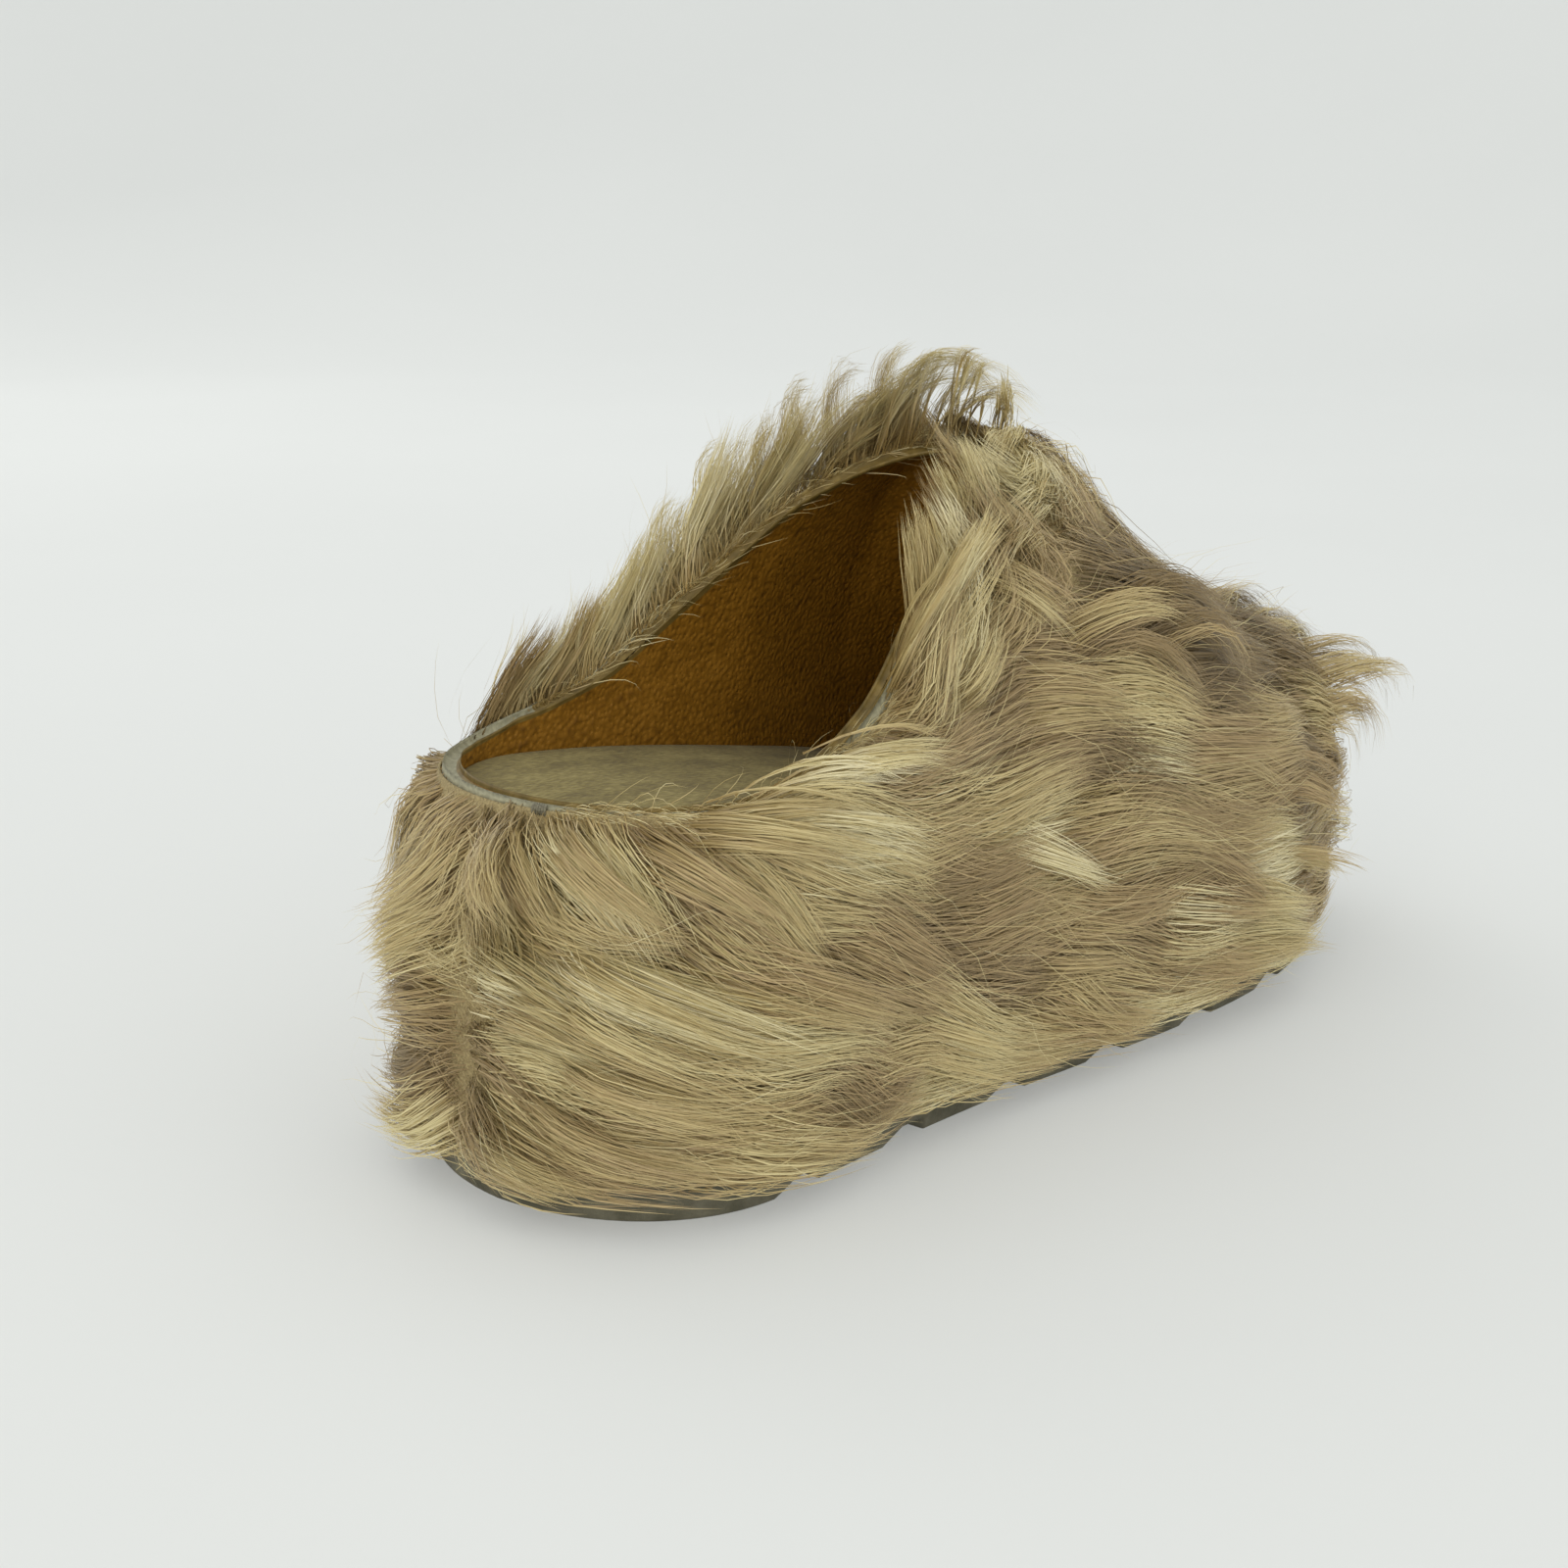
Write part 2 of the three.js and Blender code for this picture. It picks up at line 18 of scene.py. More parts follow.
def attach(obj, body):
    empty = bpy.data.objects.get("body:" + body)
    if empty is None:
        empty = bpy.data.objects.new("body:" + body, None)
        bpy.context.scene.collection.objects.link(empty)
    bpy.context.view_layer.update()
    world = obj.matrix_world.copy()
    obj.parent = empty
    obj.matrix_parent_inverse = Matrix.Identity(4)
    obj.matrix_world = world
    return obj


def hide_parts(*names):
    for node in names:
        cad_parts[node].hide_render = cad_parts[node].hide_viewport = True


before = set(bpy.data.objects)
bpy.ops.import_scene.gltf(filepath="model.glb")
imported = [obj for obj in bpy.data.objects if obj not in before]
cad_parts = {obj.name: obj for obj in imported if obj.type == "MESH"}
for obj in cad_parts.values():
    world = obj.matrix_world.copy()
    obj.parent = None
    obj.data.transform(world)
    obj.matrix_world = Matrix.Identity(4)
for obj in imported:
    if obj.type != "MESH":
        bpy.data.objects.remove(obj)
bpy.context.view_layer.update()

# %% [markdown]
# ## Camera
# The picture was taken from behind the heel, on the lateral side, a little above the shoe.
# The camera could look at a target through a constraint, but a place and three angles say
# the same thing, and leave nothing live in the file.

# %% Camera
MM = 0.001
camera_place = np.array([-307.2, -306.4, 190.2]) * MM
camera_heading = math.radians(39.81)
camera_drop = math.radians(15.0)
camera_roll = math.radians(0.44)
camera_lens = 56.92


def camera_axes(heading, drop, roll):
    """Right, up and forward of a camera that looks along a heading, tipped down, then rolled."""
    flat = np.array([math.cos(heading), math.sin(heading), 0.0])
    forward = flat * math.cos(drop) - np.array([0, 0, math.sin(drop)])
    level = np.array([math.sin(heading), -math.cos(heading), 0.0])
    above = np.cross(level, forward)
    right = level * math.cos(roll) + above * math.sin(roll)
    return right, np.cross(right, forward), forward


def matrix_of(right, above, backward, place):
    """World matrix from a thing's three axes and its place."""
    matrix = np.eye(4)
    matrix[:3] = np.stack([right, above, backward, place], 1)
    return Matrix(matrix)


right, above, forward = camera_axes(camera_heading, camera_drop, camera_roll)
camera_data = bpy.data.cameras.new("camera")
camera_data.lens = camera_lens
camera_data.sensor_width = 36
camera_data.clip_start = 0.01
camera = bpy.data.objects.new("camera", camera_data)
bpy.context.scene.collection.objects.link(camera)
camera.matrix_world = matrix_of(right, above, -forward, camera_place)
bpy.context.scene.camera = camera
print("camera at", camera_place.round(3))

# %% [markdown]
# ## Sizes and curves of the last
# A last's sections change all along the shoe. Each changing size is a short table of rows at
# shares of the length, and a monotone cubic runs through them, which never overshoots the
# rows. These are the sizes that the solids were made from, in millimetres, so that whatever
# is made here fits them.

# %% Sizes in millimetres
sole_length = 256
ball_width = 98
heel_width = 79
heel_round = 37
toe_round = 77
toe_swing = 4
heel_tread_centre = 20
seat_height = 72
ball_seat_height = 41
outsole_thickness = 8
toe_spring = 8
toe_spring_start = 192
insole_thickness = 4
clearance = 0.3
wall = 2.6
upper_inset = 1.5
skirt_heel_height = 47
skirt_ball_height = 26
heel_collar_height = 75
throat_height = 126
toe_crown_height = 67
back_lean = 3.2
throat_share = 0.555
dome_start = 0.8
heel_power, toe_power, dome_power = 2.2, 3.5, 4.2
lug_pitch = 31.5
first_notch = 32
notch_width = 13
notch_slope = 6
notch_depth = 2.4
notch_wall_run = 0.8
notch_count = 6
MEDIAL, LATERAL = 1, -1


# %% Curves through the tables
def curve_through(at, value):
    """Monotone cubic through rows: on each span the value eases from row to row, and leaves and
    arrives with the harmonic mean of the neighbouring slopes, or level where they turn."""
    at, value = np.array(at, float), np.array(value, float)
    slope = np.diff(value) / np.diff(at)
    before = np.append(slope[:1], slope)
    after = np.append(slope, slope[-1:])
    turns = before * after <= 0
    tangent = np.where(turns, 0, 2 * before * after / np.where(turns, 1, before + after))

    def curve(share):
        i = np.clip(np.searchsorted(at, share) - 1, 0, len(at) - 2)
        span = at[i + 1] - at[i]
        t = np.clip((share - at[i]) / span, 0, 1)
        rise = value[i] + (value[i + 1] - value[i]) * t * t * (3 - 2 * t)
        return rise + span * (tangent[i] * t * (1 - t) ** 2 + tangent[i + 1] * t * t * (t - 1))

    return curve


def between(low, high, t):
    return low + (high - low) * t


outline_at = [0, 0.14, 0.26, 0.38, 0.5, 0.62, 0.7, 0.8, 1]
growth = {
    LATERAL: curve_through(outline_at, [0, 0, 0.03, 0.2, 0.55, 0.9, 1, 0.97, 0.88]),
    MEDIAL: curve_through(outline_at, [0, 0, -0.14, -0.3, 0.15, 0.68, 0.92, 0.97, 0.9]),
}
seat_at = [0, 0.1, 0.2, 0.3, 0.4, 0.5, 0.6, 0.7, 0.8, 1]
seat_fall = curve_through(seat_at, [1, 0.985, 0.91, 0.79, 0.64, 0.46, 0.26, 0.09, 0, 0.03])
crown_at = [0, 0.2, 0.33, 0.44, 0.555, 0.605, 0.664, 0.72, 0.78, 0.84, 0.9, 1]
crown_rise = curve_through(
    crown_at, [0.38, 0.58, 0.83, 0.98, 1, 0.82, 0.53, 0.34, 0.23, 0.17, 0.1, 0]
)
squareness = curve_through(
    crown_at, [4.2, 3.8, 3.1, 2.6, 2.4, 2.35, 2.35, 2.4, 2.45, 2.5, 2.6, 2.7]
)
collar_at = [0, 0.08, 0.156, 0.234, 0.313, 0.39, 0.47, 0.525, 0.547, 0.555]
collar_rise = {
    LATERAL: curve_through(collar_at, [0, 0, 0.05, 0.2, 0.48, 0.74, 0.9, 0.955, 0.985, 1.02]),
    MEDIAL: curve_through(collar_at, [0, 0, 0.05, 0.14, 0.38, 0.64, 0.85, 0.935, 0.975, 1.02]),
}
coat_thickness = curve_through([0, 0.3, 0.55, 0.75, 1], [6.5, 7, 8, 10, 13])
wrap_coat = 6.5


def seat_z(share):
    return between(ball_seat_height, seat_height, seat_fall(share))


def skirt_z(share):
    return between(skirt_ball_height, skirt_heel_height, seat_fall(share))


def crown_z(share):
    return between(toe_crown_height, throat_height, crown_rise(share))


def topline_z(share, side):
    return between(heel_collar_height, throat_height, collar_rise[side](share))


def tread_z(share):
    """Flat on the floor, then a parabola that lifts the toe."""
    past = np.maximum(0, share * sole_length - toe_spring_start)
    return toe_spring * (past / (sole_length - toe_spring_start)) ** 2


def end_rounding(share):
    """Share of the width that is left: a superellipse quarter at the heel and one at the toe."""
    distance = share * sole_length
    to_heel = np.clip(1 - distance / heel_round, 0, 1)
    to_toe = np.clip(1 - (sole_length - distance) / toe_round, 0, 1)
    return np.sqrt(1 - to_heel**heel_power) * np.sqrt(1 - to_toe**toe_power)


def toe_dome(share):
    t = np.clip((share - dome_start) / (1 - dome_start), 0, 1)
    return np.sqrt(1 - t**dome_power)


def half_width(share, side, inset):
    full = between(heel_width / 2, ball_width / 2, growth[side](share))
    return (full - inset) * end_rounding(share)


def centre_y(share):
    return toe_swing * np.maximum(0, 1 - (1 - share) * sole_length / toe_round) ** 1.5


def station_x(share, inset):
    return inset + share * (sole_length - 2 * inset) - heel_tread_centre


def share_of(x):
    """Share of the length at an x of the shoe, held between 0 and 1."""
    return np.clip((x + heel_tread_centre) / sole_length, 0, 1)


def to_xyz(*parts):
    return np.stack(np.broadcast_arrays(*parts), -1)


def unit(vectors):
    return vectors / (np.linalg.norm(vectors, axis=-1, keepdims=True) + 1e-9)


def upper_point(share, turn, side, inset):
    """The upper's form on one side. The turn goes from 0 at the skirt's edge to pi/2 at the
    crown: across is cos(turn) and up is sin(turn), each to the power 2 / squareness."""
    power = 2 / squareness(share)
    across = np.clip(np.cos(turn), 0, 1) ** power
    up = np.clip(np.sin(turn), 0, 1) ** power
    drawn = upper_inset + inset
    base = skirt_z(share)
    rise = np.maximum(crown_z(share) - base - inset, 1) * toe_dome(share)
    to_back = np.maximum(0, 1 - share * sole_length / heel_round)
    rear_rise = np.minimum(up * rise / (heel_collar_height - skirt_heel_height), 1.5)
    lean = back_lean * rear_rise**2 * to_back**2
    y = centre_y(share) + side * across * half_width(share, side, drawn)
    return to_xyz(station_x(share, drawn) + lean, y, base + up * rise)


def topline_turn(share, side, inset, drop=0.0):
    """The turn at which one side reaches the topline, or some drop below it: the crown itself
    in front of the throat."""
    base = skirt_z(share)
    rise = np.maximum(crown_z(share) - base - inset, 1)
    up = np.clip((topline_z(share, side) - drop - base) / rise, 0, 1)
    turn = np.arcsin(up ** (squareness(share) / 2))
    return np.where(share >= throat_share, np.pi / 2, turn)


print("throat at", round(float(station_x(throat_share, 0)), 1), "mm from the heel tread's centre")

# %% [markdown]
# ## Meshes from arrays
# Every new piece is a grid of points, worked out as whole arrays. One helper puts points and
# faces into a mesh, and one makes a closed skin from rings of points.


# %% Helpers for meshes
def new_piece(name, points, corners, sizes, uv=None, materials=(), material_of_face=None):
    """A mesh from points in millimetres, the corner numbers of all faces in one row, and how
    many corners each face has."""
    mesh = bpy.data.meshes.new(name)
    mesh.vertices.add(len(points))
    mesh.vertices.foreach_set("co", (points * MM).astype(np.float32).ravel())
    mesh.loops.add(len(corners))
    mesh.loops.foreach_set("vertex_index", corners.astype(np.int32))
    mesh.polygons.add(len(sizes))
    starts = np.cumsum(sizes) - sizes
    mesh.polygons.foreach_set("loop_start", starts.astype(np.int32))
    mesh.polygons.foreach_set("use_smooth", np.ones(len(sizes), bool))
    for material in materials:
        mesh.materials.append(material)
    if material_of_face is not None:
        mesh.polygons.foreach_set("material_index", material_of_face.astype(np.int32))
    mesh.update(calc_edges=True)
    if uv is not None:
        layer = mesh.uv_layers.new(name="OFBake")
        layer.data.foreach_set("uv", uv.astype(np.float32).ravel())
    piece = bpy.data.objects.new(name, mesh)
    bpy.context.scene.collection.objects.link(piece)
    return piece


def grid_faces(rows, columns, closed_rows=False):
    """Four corner numbers for each cell of a grid whose points are numbered row by row."""
    last = rows if closed_rows else rows - 1
    row, column = np.meshgrid(np.arange(last), np.arange(columns - 1), indexing="ij")
    above_row = (row + 1) % rows
    a, b = row * columns + column, row * columns + column + 1
    c, d = above_row * columns + column + 1, above_row * columns + column
    return np.stack([a, b, c, d], -1).reshape(-1, 4)


def merged(piece, distance=0.02):
    """Joins doubled points, drops faces that shrank to nothing and turns the rest outward."""
    work = bmesh.new()
    work.from_mesh(piece.data)
    bmesh.ops.remove_doubles(work, verts=work.verts, dist=distance * MM)
    bmesh.ops.dissolve_degenerate(work, edges=work.edges, dist=distance * MM / 10)
    bmesh.ops.recalc_face_normals(work, faces=work.faces)
    work.to_mesh(piece.data)
    work.free()
    piece.data.update()
    return piece


def ring_piece(name, grids, materials=(), kinds=None):
    """A closed skin from grids whose first axis runs round a section and comes back to its
    start. Each grid is (around, along, xyz); kinds has a (around, along) grid of material
    numbers for each."""
    points, faces, kind_rows, offset = [], [], [], 0
    for grid in grids:
        rows, columns = grid.shape[:2]
        faces.append(grid_faces(rows, columns, closed_rows=True) + offset)
        points.append(grid.reshape(-1, 3))
        kind = np.zeros((rows, 1), int) if kinds is None else kinds[len(kind_rows)]
        kind_rows.append(np.broadcast_to(kind, (rows, columns - 1)).ravel())
        offset += rows * columns
    faces = np.concatenate(faces)
    piece = new_piece(
        name,
        np.concatenate(points),
        faces.ravel(),
        np.full(len(faces), 4),
        materials=materials,
        material_of_face=np.concatenate(kind_rows),
    )
    return merged(piece)


def cosine_shares(count):
    """Shares from 0 to 1, close together at both ends."""
    return (1 - np.cos(np.pi * np.arange(count + 1) / count)) / 2


def dressed(piece, slot_name, *replaced):
    """Rides the piece on the shoe's one body and hides the parts that it replaces. Its slot name
    is not used: a detail that the record has no slot for takes None."""
    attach(piece, "root")
    if replaced:
        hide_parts(*replaced)
    triangles = sum(len(p.vertices) - 2 for p in piece.data.polygons)
    print(piece.name, triangles, "triangles")
    return piece


# %% [markdown]
# ## Materials
# Each finish starts from what the real thing is. Colours are written as the hex values one
# would pick in a paint program, and one function turns them into the linear light that the
# renderer wants. One helper adds a node with its settings and its links.


# %% Helpers for materials
def linear(hex_colour):
    """sRGB hex to linear RGBA: the low end is divided by 12.92, the rest follows a power."""
    parts = np.array([int(hex_colour[i : i + 2], 16) for i in (1, 3, 5)]) / 255
    light = np.where(parts <= 0.04045, parts / 12.92, ((parts + 0.055) / 1.055) ** 2.4)
    return (*light.tolist(), 1.0)


def new_material(name, **sockets):
    """A material with one Principled shader and its plain values."""
    material = bpy.data.materials.new(name)
    material.use_nodes = True
    shader = material.node_tree.nodes["Principled BSDF"]
    for socket, value in sockets.items():
        shader.inputs[socket.replace("_", " ")].default_value = value
    return material, material.node_tree, shader


def add(tree, kind, inputs=None, stops=(), **settings):
    """Adds a node. An input is a plain value, or an output socket to link it to. A colour ramp
    also takes its stops, each a place and a hex colour."""
    node = tree.nodes.new("ShaderNode" + kind)
    for name, value in settings.items():
        setattr(node, name, value)
    for name, value in (inputs or {}).items():
        if isinstance(value, bpy.types.NodeSocket):
            tree.links.new(value, node.inputs[name])
        else:
            node.inputs[name].default_value = value
    if stops:
        elements = node.color_ramp.elements
        elements[0].position, elements[1].position = stops[0][0], stops[-1][0]
        for place, _ in stops[1:-1]:
            elements.new(place)
        for element, (_, colour) in zip(elements, stops):
            element.color = linear(colour)
    return node


def per_metre(size_mm):
    """A texture's Scale on Object coordinates, for a grain of so many millimetres."""
    return 1 / (size_mm * MM)


def wire(tree, shader, colour, height, depth_mm):
    """Links a colour and a relief, so many millimetres deep, into the shader."""
    relief = add(tree, "Bump", {"Height": height, "Distance": depth_mm * MM, "Strength": 1.0})
    tree.links.new(colour.outputs["Color"], shader.inputs["Base Color"])
    tree.links.new(relief.outputs["Normal"], shader.inputs["Normal"])


def grained(name, size_mm, stops, depth_mm, detail=3.0, stretch=(1, 1, 1), **sockets):
    """A material whose colour and relief follow one noise."""
    material, tree, shader = new_material(name, **sockets)
    where = add(tree, "TexCoord").outputs["Object"]
    place = add(tree, "Mapping", {"Vector": where, "Scale": stretch}).outputs["Vector"]
    inputs = {"Vector": place, "Scale": per_metre(size_mm), "Detail": detail}
    grain = add(tree, "TexNoise", inputs).outputs["Fac"]
    colour = add(tree, "ValToRGB", {"Fac": grain}, stops=stops)
    wire(tree, shader, colour, grain, depth_mm)
    return material


# %% Goat hair
# Keratin, silky and unpigmented, so cream; the palette turns darker tan towards the roots.
# Each hair carries its place in a small palette: across it the hair's tone, along it the way
# from root to tip.
hair, tree, shader = new_material("goat_hair", Roughness=0.42, IOR=1.55)
place = add(tree, "UVMap", uv_map="OFBake").outputs["UV"]
palette = add(tree, "SeparateXYZ", {"Vector": place}).outputs
tip_stops = [
    (0.0, "#6b5735"), (0.2, "#8e784f"), (0.4, "#ad9468"), (0.6, "#c2ae79"),
    (0.8, "#d6c894"), (1.0, "#ece2bb"),
]
root_stops = [(0.0, "#665330"), (0.4, "#866d40"), (0.7, "#a2874e"), (1.0, "#ba9d60")]
tips = add(tree, "ValToRGB", {"Fac": palette["X"]}, stops=tip_stops).outputs["Color"]
roots = add(tree, "ValToRGB", {"Fac": palette["X"]}, stops=root_stops).outputs["Color"]
towards_tip = add(
    tree, "MapRange", {"Value": palette["Y"], "From Min": 0.0, "From Max": 0.45}
).outputs["Result"]
mixed = add(tree, "Mix", {"Factor": towards_tip, 6: roots, 7: tips}, data_type="RGBA")
tree.links.new(mixed.outputs[2], shader.inputs["Base Color"])

# %% Underhair
# The dense short hair on the hide, seen only between locks and coloured darker than the
# long hair as painted shade. Its own grain is under 0.1 mm, so it is drawn at half a millimetre.
underhair = grained(
    "goat_underhair_painted_shade", 0.5, [(0.3, "#8a7952"), (0.7, "#b09d70")], 0.5,
    detail=2.0, stretch=(0.25, 1, 1), Roughness=0.9,
)

# %% Lining leather
# Drum-dyed sheepskin in mustard tan with a soft pebble of about 1.1 mm, darker where the
# pebble's relief rises and where a larger mottle is strong. A thin finish gives it a low, broad
# gloss.
lining, tree, shader = new_material("lining_sheepskin", Roughness=0.52, IOR=1.5)
where = add(tree, "TexCoord").outputs["Object"]
pebble = add(
    tree, "TexVoronoi", {"Vector": where, "Scale": per_metre(1.1)}, feature="SMOOTH_F1"
).outputs["Distance"]
mottle = add(tree, "TexNoise", {"Vector": where, "Scale": per_metre(9), "Detail": 4.0})
tone = add(tree, "Math", {0: pebble, 1: mottle.outputs["Fac"]}, operation="MULTIPLY")
leather_stops = [(0.05, "#a07020"), (0.25, "#8c6012"), (0.5, "#704a0a")]
leather = add(tree, "ValToRGB", {"Fac": tone.outputs["Value"]}, stops=leather_stops)
wire(tree, shader, leather, pebble, 0.4)

# %% Edge of the roll
# The same sheepskin where it is turned over into the roll: pulled smooth and dulled by wear,
# in olive brown with lighter tones that are a painted highlight, as on the lit crest.
roll_leather_with_highlight = grained(
    "roll_leather_painted_highlight", 3, [(0.3, "#62501f"), (0.5, "#75602b"), (0.7, "#8d763c")], 0.15,
    detail=4.0, Roughness=0.6, IOR=1.5,
)

# %% Bare hide
# The flesh-coloured edge of the hide where the hair is shaved or parted: matt, cool and
# faintly blue against the cream hair.
hide = grained("bare_goat_hide", 1.2, [(0.3, "#87836b"), (0.7, "#a8a386")], 0.3, Roughness=0.8)

# %% Suede footbed
# Split leather in a grey olive, its nap brushed into cloudy light and dark patches.
suede, tree, shader = new_material("suede_split", Roughness=0.95)
shader.inputs["Sheen Weight"].default_value = 0.06
shader.inputs["Sheen Roughness"].default_value = 0.5
where = add(tree, "TexCoord").outputs["Object"]
place = add(tree, "Mapping", {"Vector": where, "Scale": (0.6, 1, 1)}).outputs["Vector"]
clouds = add(tree, "TexNoise", {"Vector": place, "Scale": per_metre(9), "Detail": 6.0})
place = add(tree, "Mapping", {"Vector": where, "Scale": (0.5, 1, 1)}).outputs["Vector"]
nap = add(tree, "TexNoise", {"Vector": place, "Scale": per_metre(0.8), "Detail": 3.0})
clouds, nap = clouds.outputs["Fac"], nap.outputs["Fac"]
tone = add(tree, "Mix", {"Factor": 0.5, "A": clouds, "B": nap}).outputs["Result"]
suede_stops = [(0.34, "#57491f"), (0.5, "#756733"), (0.66, "#91834c")]
suede_colour = add(tree, "ValToRGB", {"Fac": tone}, stops=suede_stops)
wire(tree, shader, suede_colour, nap, 0.25)

# %% Outsole rubber
# Moulded crepe-like rubber in olive grey. The mould leaves a fine matt grain, and the side
# carries a little dust.
rubber, tree, shader = new_material("outsole_rubber", Roughness=0.72, IOR=1.52)
where = add(tree, "TexCoord").outputs["Object"]
dust = add(tree, "TexNoise", {"Vector": where, "Scale": per_metre(7), "Detail": 5.0})
grain = add(tree, "TexNoise", {"Vector": where, "Scale": per_metre(0.7), "Detail": 2.0})
rubber_stops = [(0.35, "#4e4b39"), (0.55, "#666250"), (0.75, "#7d7963")]
rubber_colour = add(tree, "ValToRGB", {"Fac": dust.outputs["Fac"]}, stops=rubber_stops)
wire(tree, shader, rubber_colour, grain.outputs["Fac"], 0.2)

# %% Platform foam and thread
# The wedge is pale closed-cell foam, all but hidden, and the bar tacks are sewn in waxed
# polyester thread.
foam = grained("wedge_foam", 1.0, [(0.3, "#7d7763"), (0.7, "#97917b")], 0.2, Roughness=0.9)
thread = grained("waxed_thread", 0.4, [(0.3, "#575240"), (0.7, "#807a64")], 0.1, Roughness=0.6)
made = [hair, underhair, lining, roll_leather_with_highlight, hide, suede, rubber, foam, thread]
print("materials", [material.name for material in made])

# %% [markdown]
# ## Outsole and footbed
# The outsole could be the plain solid, but its outline shows right beside the floor, so it
# is lofted again with close stations and rounded edges. Each section is a ring round the
# sole; the tread line that it follows carries the notches between the lugs.


# %% Outsole
def notch_z(x_from_heel):
    """How far a notch cuts up into the tread: from each notch's heel side a ramp, then level,
    then a short steep wall."""
    along = (x_from_heel - first_notch) % lug_pitch
    within = (x_from_heel > first_notch) & (
        x_from_heel < first_notch + (notch_count - 1) * lug_pitch + notch_width
    )
    up = np.clip(along / notch_slope, 0, 1)
    down = np.clip((notch_width - along) / notch_wall_run, 0, 1)
    return np.where(within & (along < notch_width), notch_depth * np.minimum(up, down), 0)


even = np.arange(0, sole_length, 2.0)
notch_starts = first_notch + lug_pitch * np.arange(notch_count)
notch_marks = np.array([0, 0.01, notch_slope, notch_width - notch_wall_run, notch_width])
walls = (notch_starts[:, None] + notch_marks[None, :]).ravel()
ends = sole_length * cosine_shares(60)
sole_x = np.unique(np.clip(np.concatenate([even, walls, ends]), 0, sole_length).round(3))
share = (sole_x / sole_length)[None, :]
edge_round = 1.2
arc = np.linspace(0, np.pi / 2, 5)[:, None]
low = tread_z(share) + notch_z(sole_x)[None, :]
high = tread_z(share) + outsole_thickness


def sole_side(side):
    """One side of the section from the middle of the tread out, round the edge and up."""
    half = half_width(share, side, 0)
    soft = np.minimum(edge_round, half)
    flat = to_xyz(0 * half, side * (half - soft) * np.array([[0.0], [0.4], [0.8]]), low)
    near_sin, near_cos = soft * (1 - np.sin(arc)), soft * (1 - np.cos(arc))
    corner = to_xyz(0 * half, side * (half - near_sin), low + near_cos)
    top = to_xyz(0 * half, side * (half - near_cos), high - near_sin)
    inner = to_xyz(0 * half, side * (half - soft) * np.array([[0.5], [0.0]]), high)
    return np.concatenate([flat, corner, top, inner])


def whole_ring(medial_half, lateral_half):
    """Both halves of a section as one ring, without the doubled middle points."""
    ring = np.concatenate([medial_half, lateral_half[-2:0:-1]])
    ring[..., 0] = station_x(share, 0)
    ring[..., 1] += centre_y(share)
    return ring


sole_rings = whole_ring(sole_side(MEDIAL), sole_side(LATERAL))
outsole = ring_piece("outsole_lugged", [sole_rings], [rubber])
dressed(outsole, "outsole_rubber", "outsole")

# %% Footbed
# Suede over the wedge, trimmed to the inside of the upper. Its edge is turned down a little,
# and the heel is pressed into a shallow dish.
inside = upper_inset + wall + clearance
dish_depth, dish_place, edge_turn = 0.5, 0.12, 0.6


def room_rise(share):
    """Height of the room inside the upper over the skirt's edge, before the toe's dome."""
    return np.maximum(crown_z(share) - skirt_z(share) - wall - clearance, 1)


reach = np.linspace(0, 1, 2001)
room = room_rise(reach) * np.maximum(toe_dome(reach), 0.01)
bed_end = float(reach[np.argmax((seat_z(reach) - skirt_z(reach)) / room > 0.995)])
share = (bed_end * cosine_shares(90))[None, :]
up = np.clip((seat_z(share) - skirt_z(share)) / (room_rise(share) * toe_dome(share)), 0, 1)
reached = (1 - up ** squareness(share)) ** (1 / squareness(share))
across = np.sin(np.linspace(-np.pi / 2, np.pi / 2, 25))[:, None]
medial_half, lateral_half = (half_width(share, side, inside) for side in (MEDIAL, LATERAL))
bed_half = np.where(across > 0, medial_half, lateral_half)
bed_y = centre_y(share) + across * reached * bed_half
hollow = np.exp(-(((share - dish_place) / dish_place) ** 2))
dish = dish_depth * (1 - across**2) * hollow
turned = edge_turn * np.abs(across) ** 12
bed_top = to_xyz(station_x(share, inside), bed_y, seat_z(share) - dish - turned)
bed_low = to_xyz(station_x(share, inside), bed_y, seat_z(share) - insole_thickness + 0 * across)
footbed = ring_piece("footbed_suede", [np.concatenate([bed_top, bed_low[::-1]])], [suede])
dressed(footbed, "insole_suede", "insole")

# %% [markdown]
# ## Upper: hide outside, leather inside
# The real upper is the hide and its lining, turned over at the topline into a soft roll. It
# is made as one closed skin: a section runs up the outside of the wall, over the roll and
# down the lining. In front of the throat both sides meet over the foot, and the roll has
# nothing to do there, so it shrinks into the wall. Creases of the lining are troughs placed
# where the foot's heel pulls it.

# %% Upper wall
wall_shares = np.unique(
    np.concatenate([
        throat_share * cosine_shares(110),
        throat_share + (1 - throat_share) * cosine_shares(60),
    ])
)
share = wall_shares[None, :]
outer_rows, lining_rows, roll_rows = 12, 26, 7
roll_height = 1.6

# Creases of the lining: side, mm from the heel, mm above the footbed, heading in degrees,
# length, width and depth in mm.
crease_rows = [
    (MEDIAL, 14, 2, 28, 42, 2.2, 0.7),
    (MEDIAL, 22, 2, 42, 34, 2.0, 0.6),
    (MEDIAL, 12, 5, 12, 36, 1.8, 0.6),
    (MEDIAL, 34, 1, 55, 26, 2.2, 0.5),
    (MEDIAL, 48, 6, 8, 60, 3.0, 0.5),
    (MEDIAL, 84, 14, -35, 40, 4.0, 0.8),
    (MEDIAL, 96, 30, 62, 36, 5.0, 0.7),
    (LATERAL, 60, 3, 20, 30, 3.0, 0.5),
    (LATERAL, 95, 20, 50, 40, 5.0, 0.8),
]


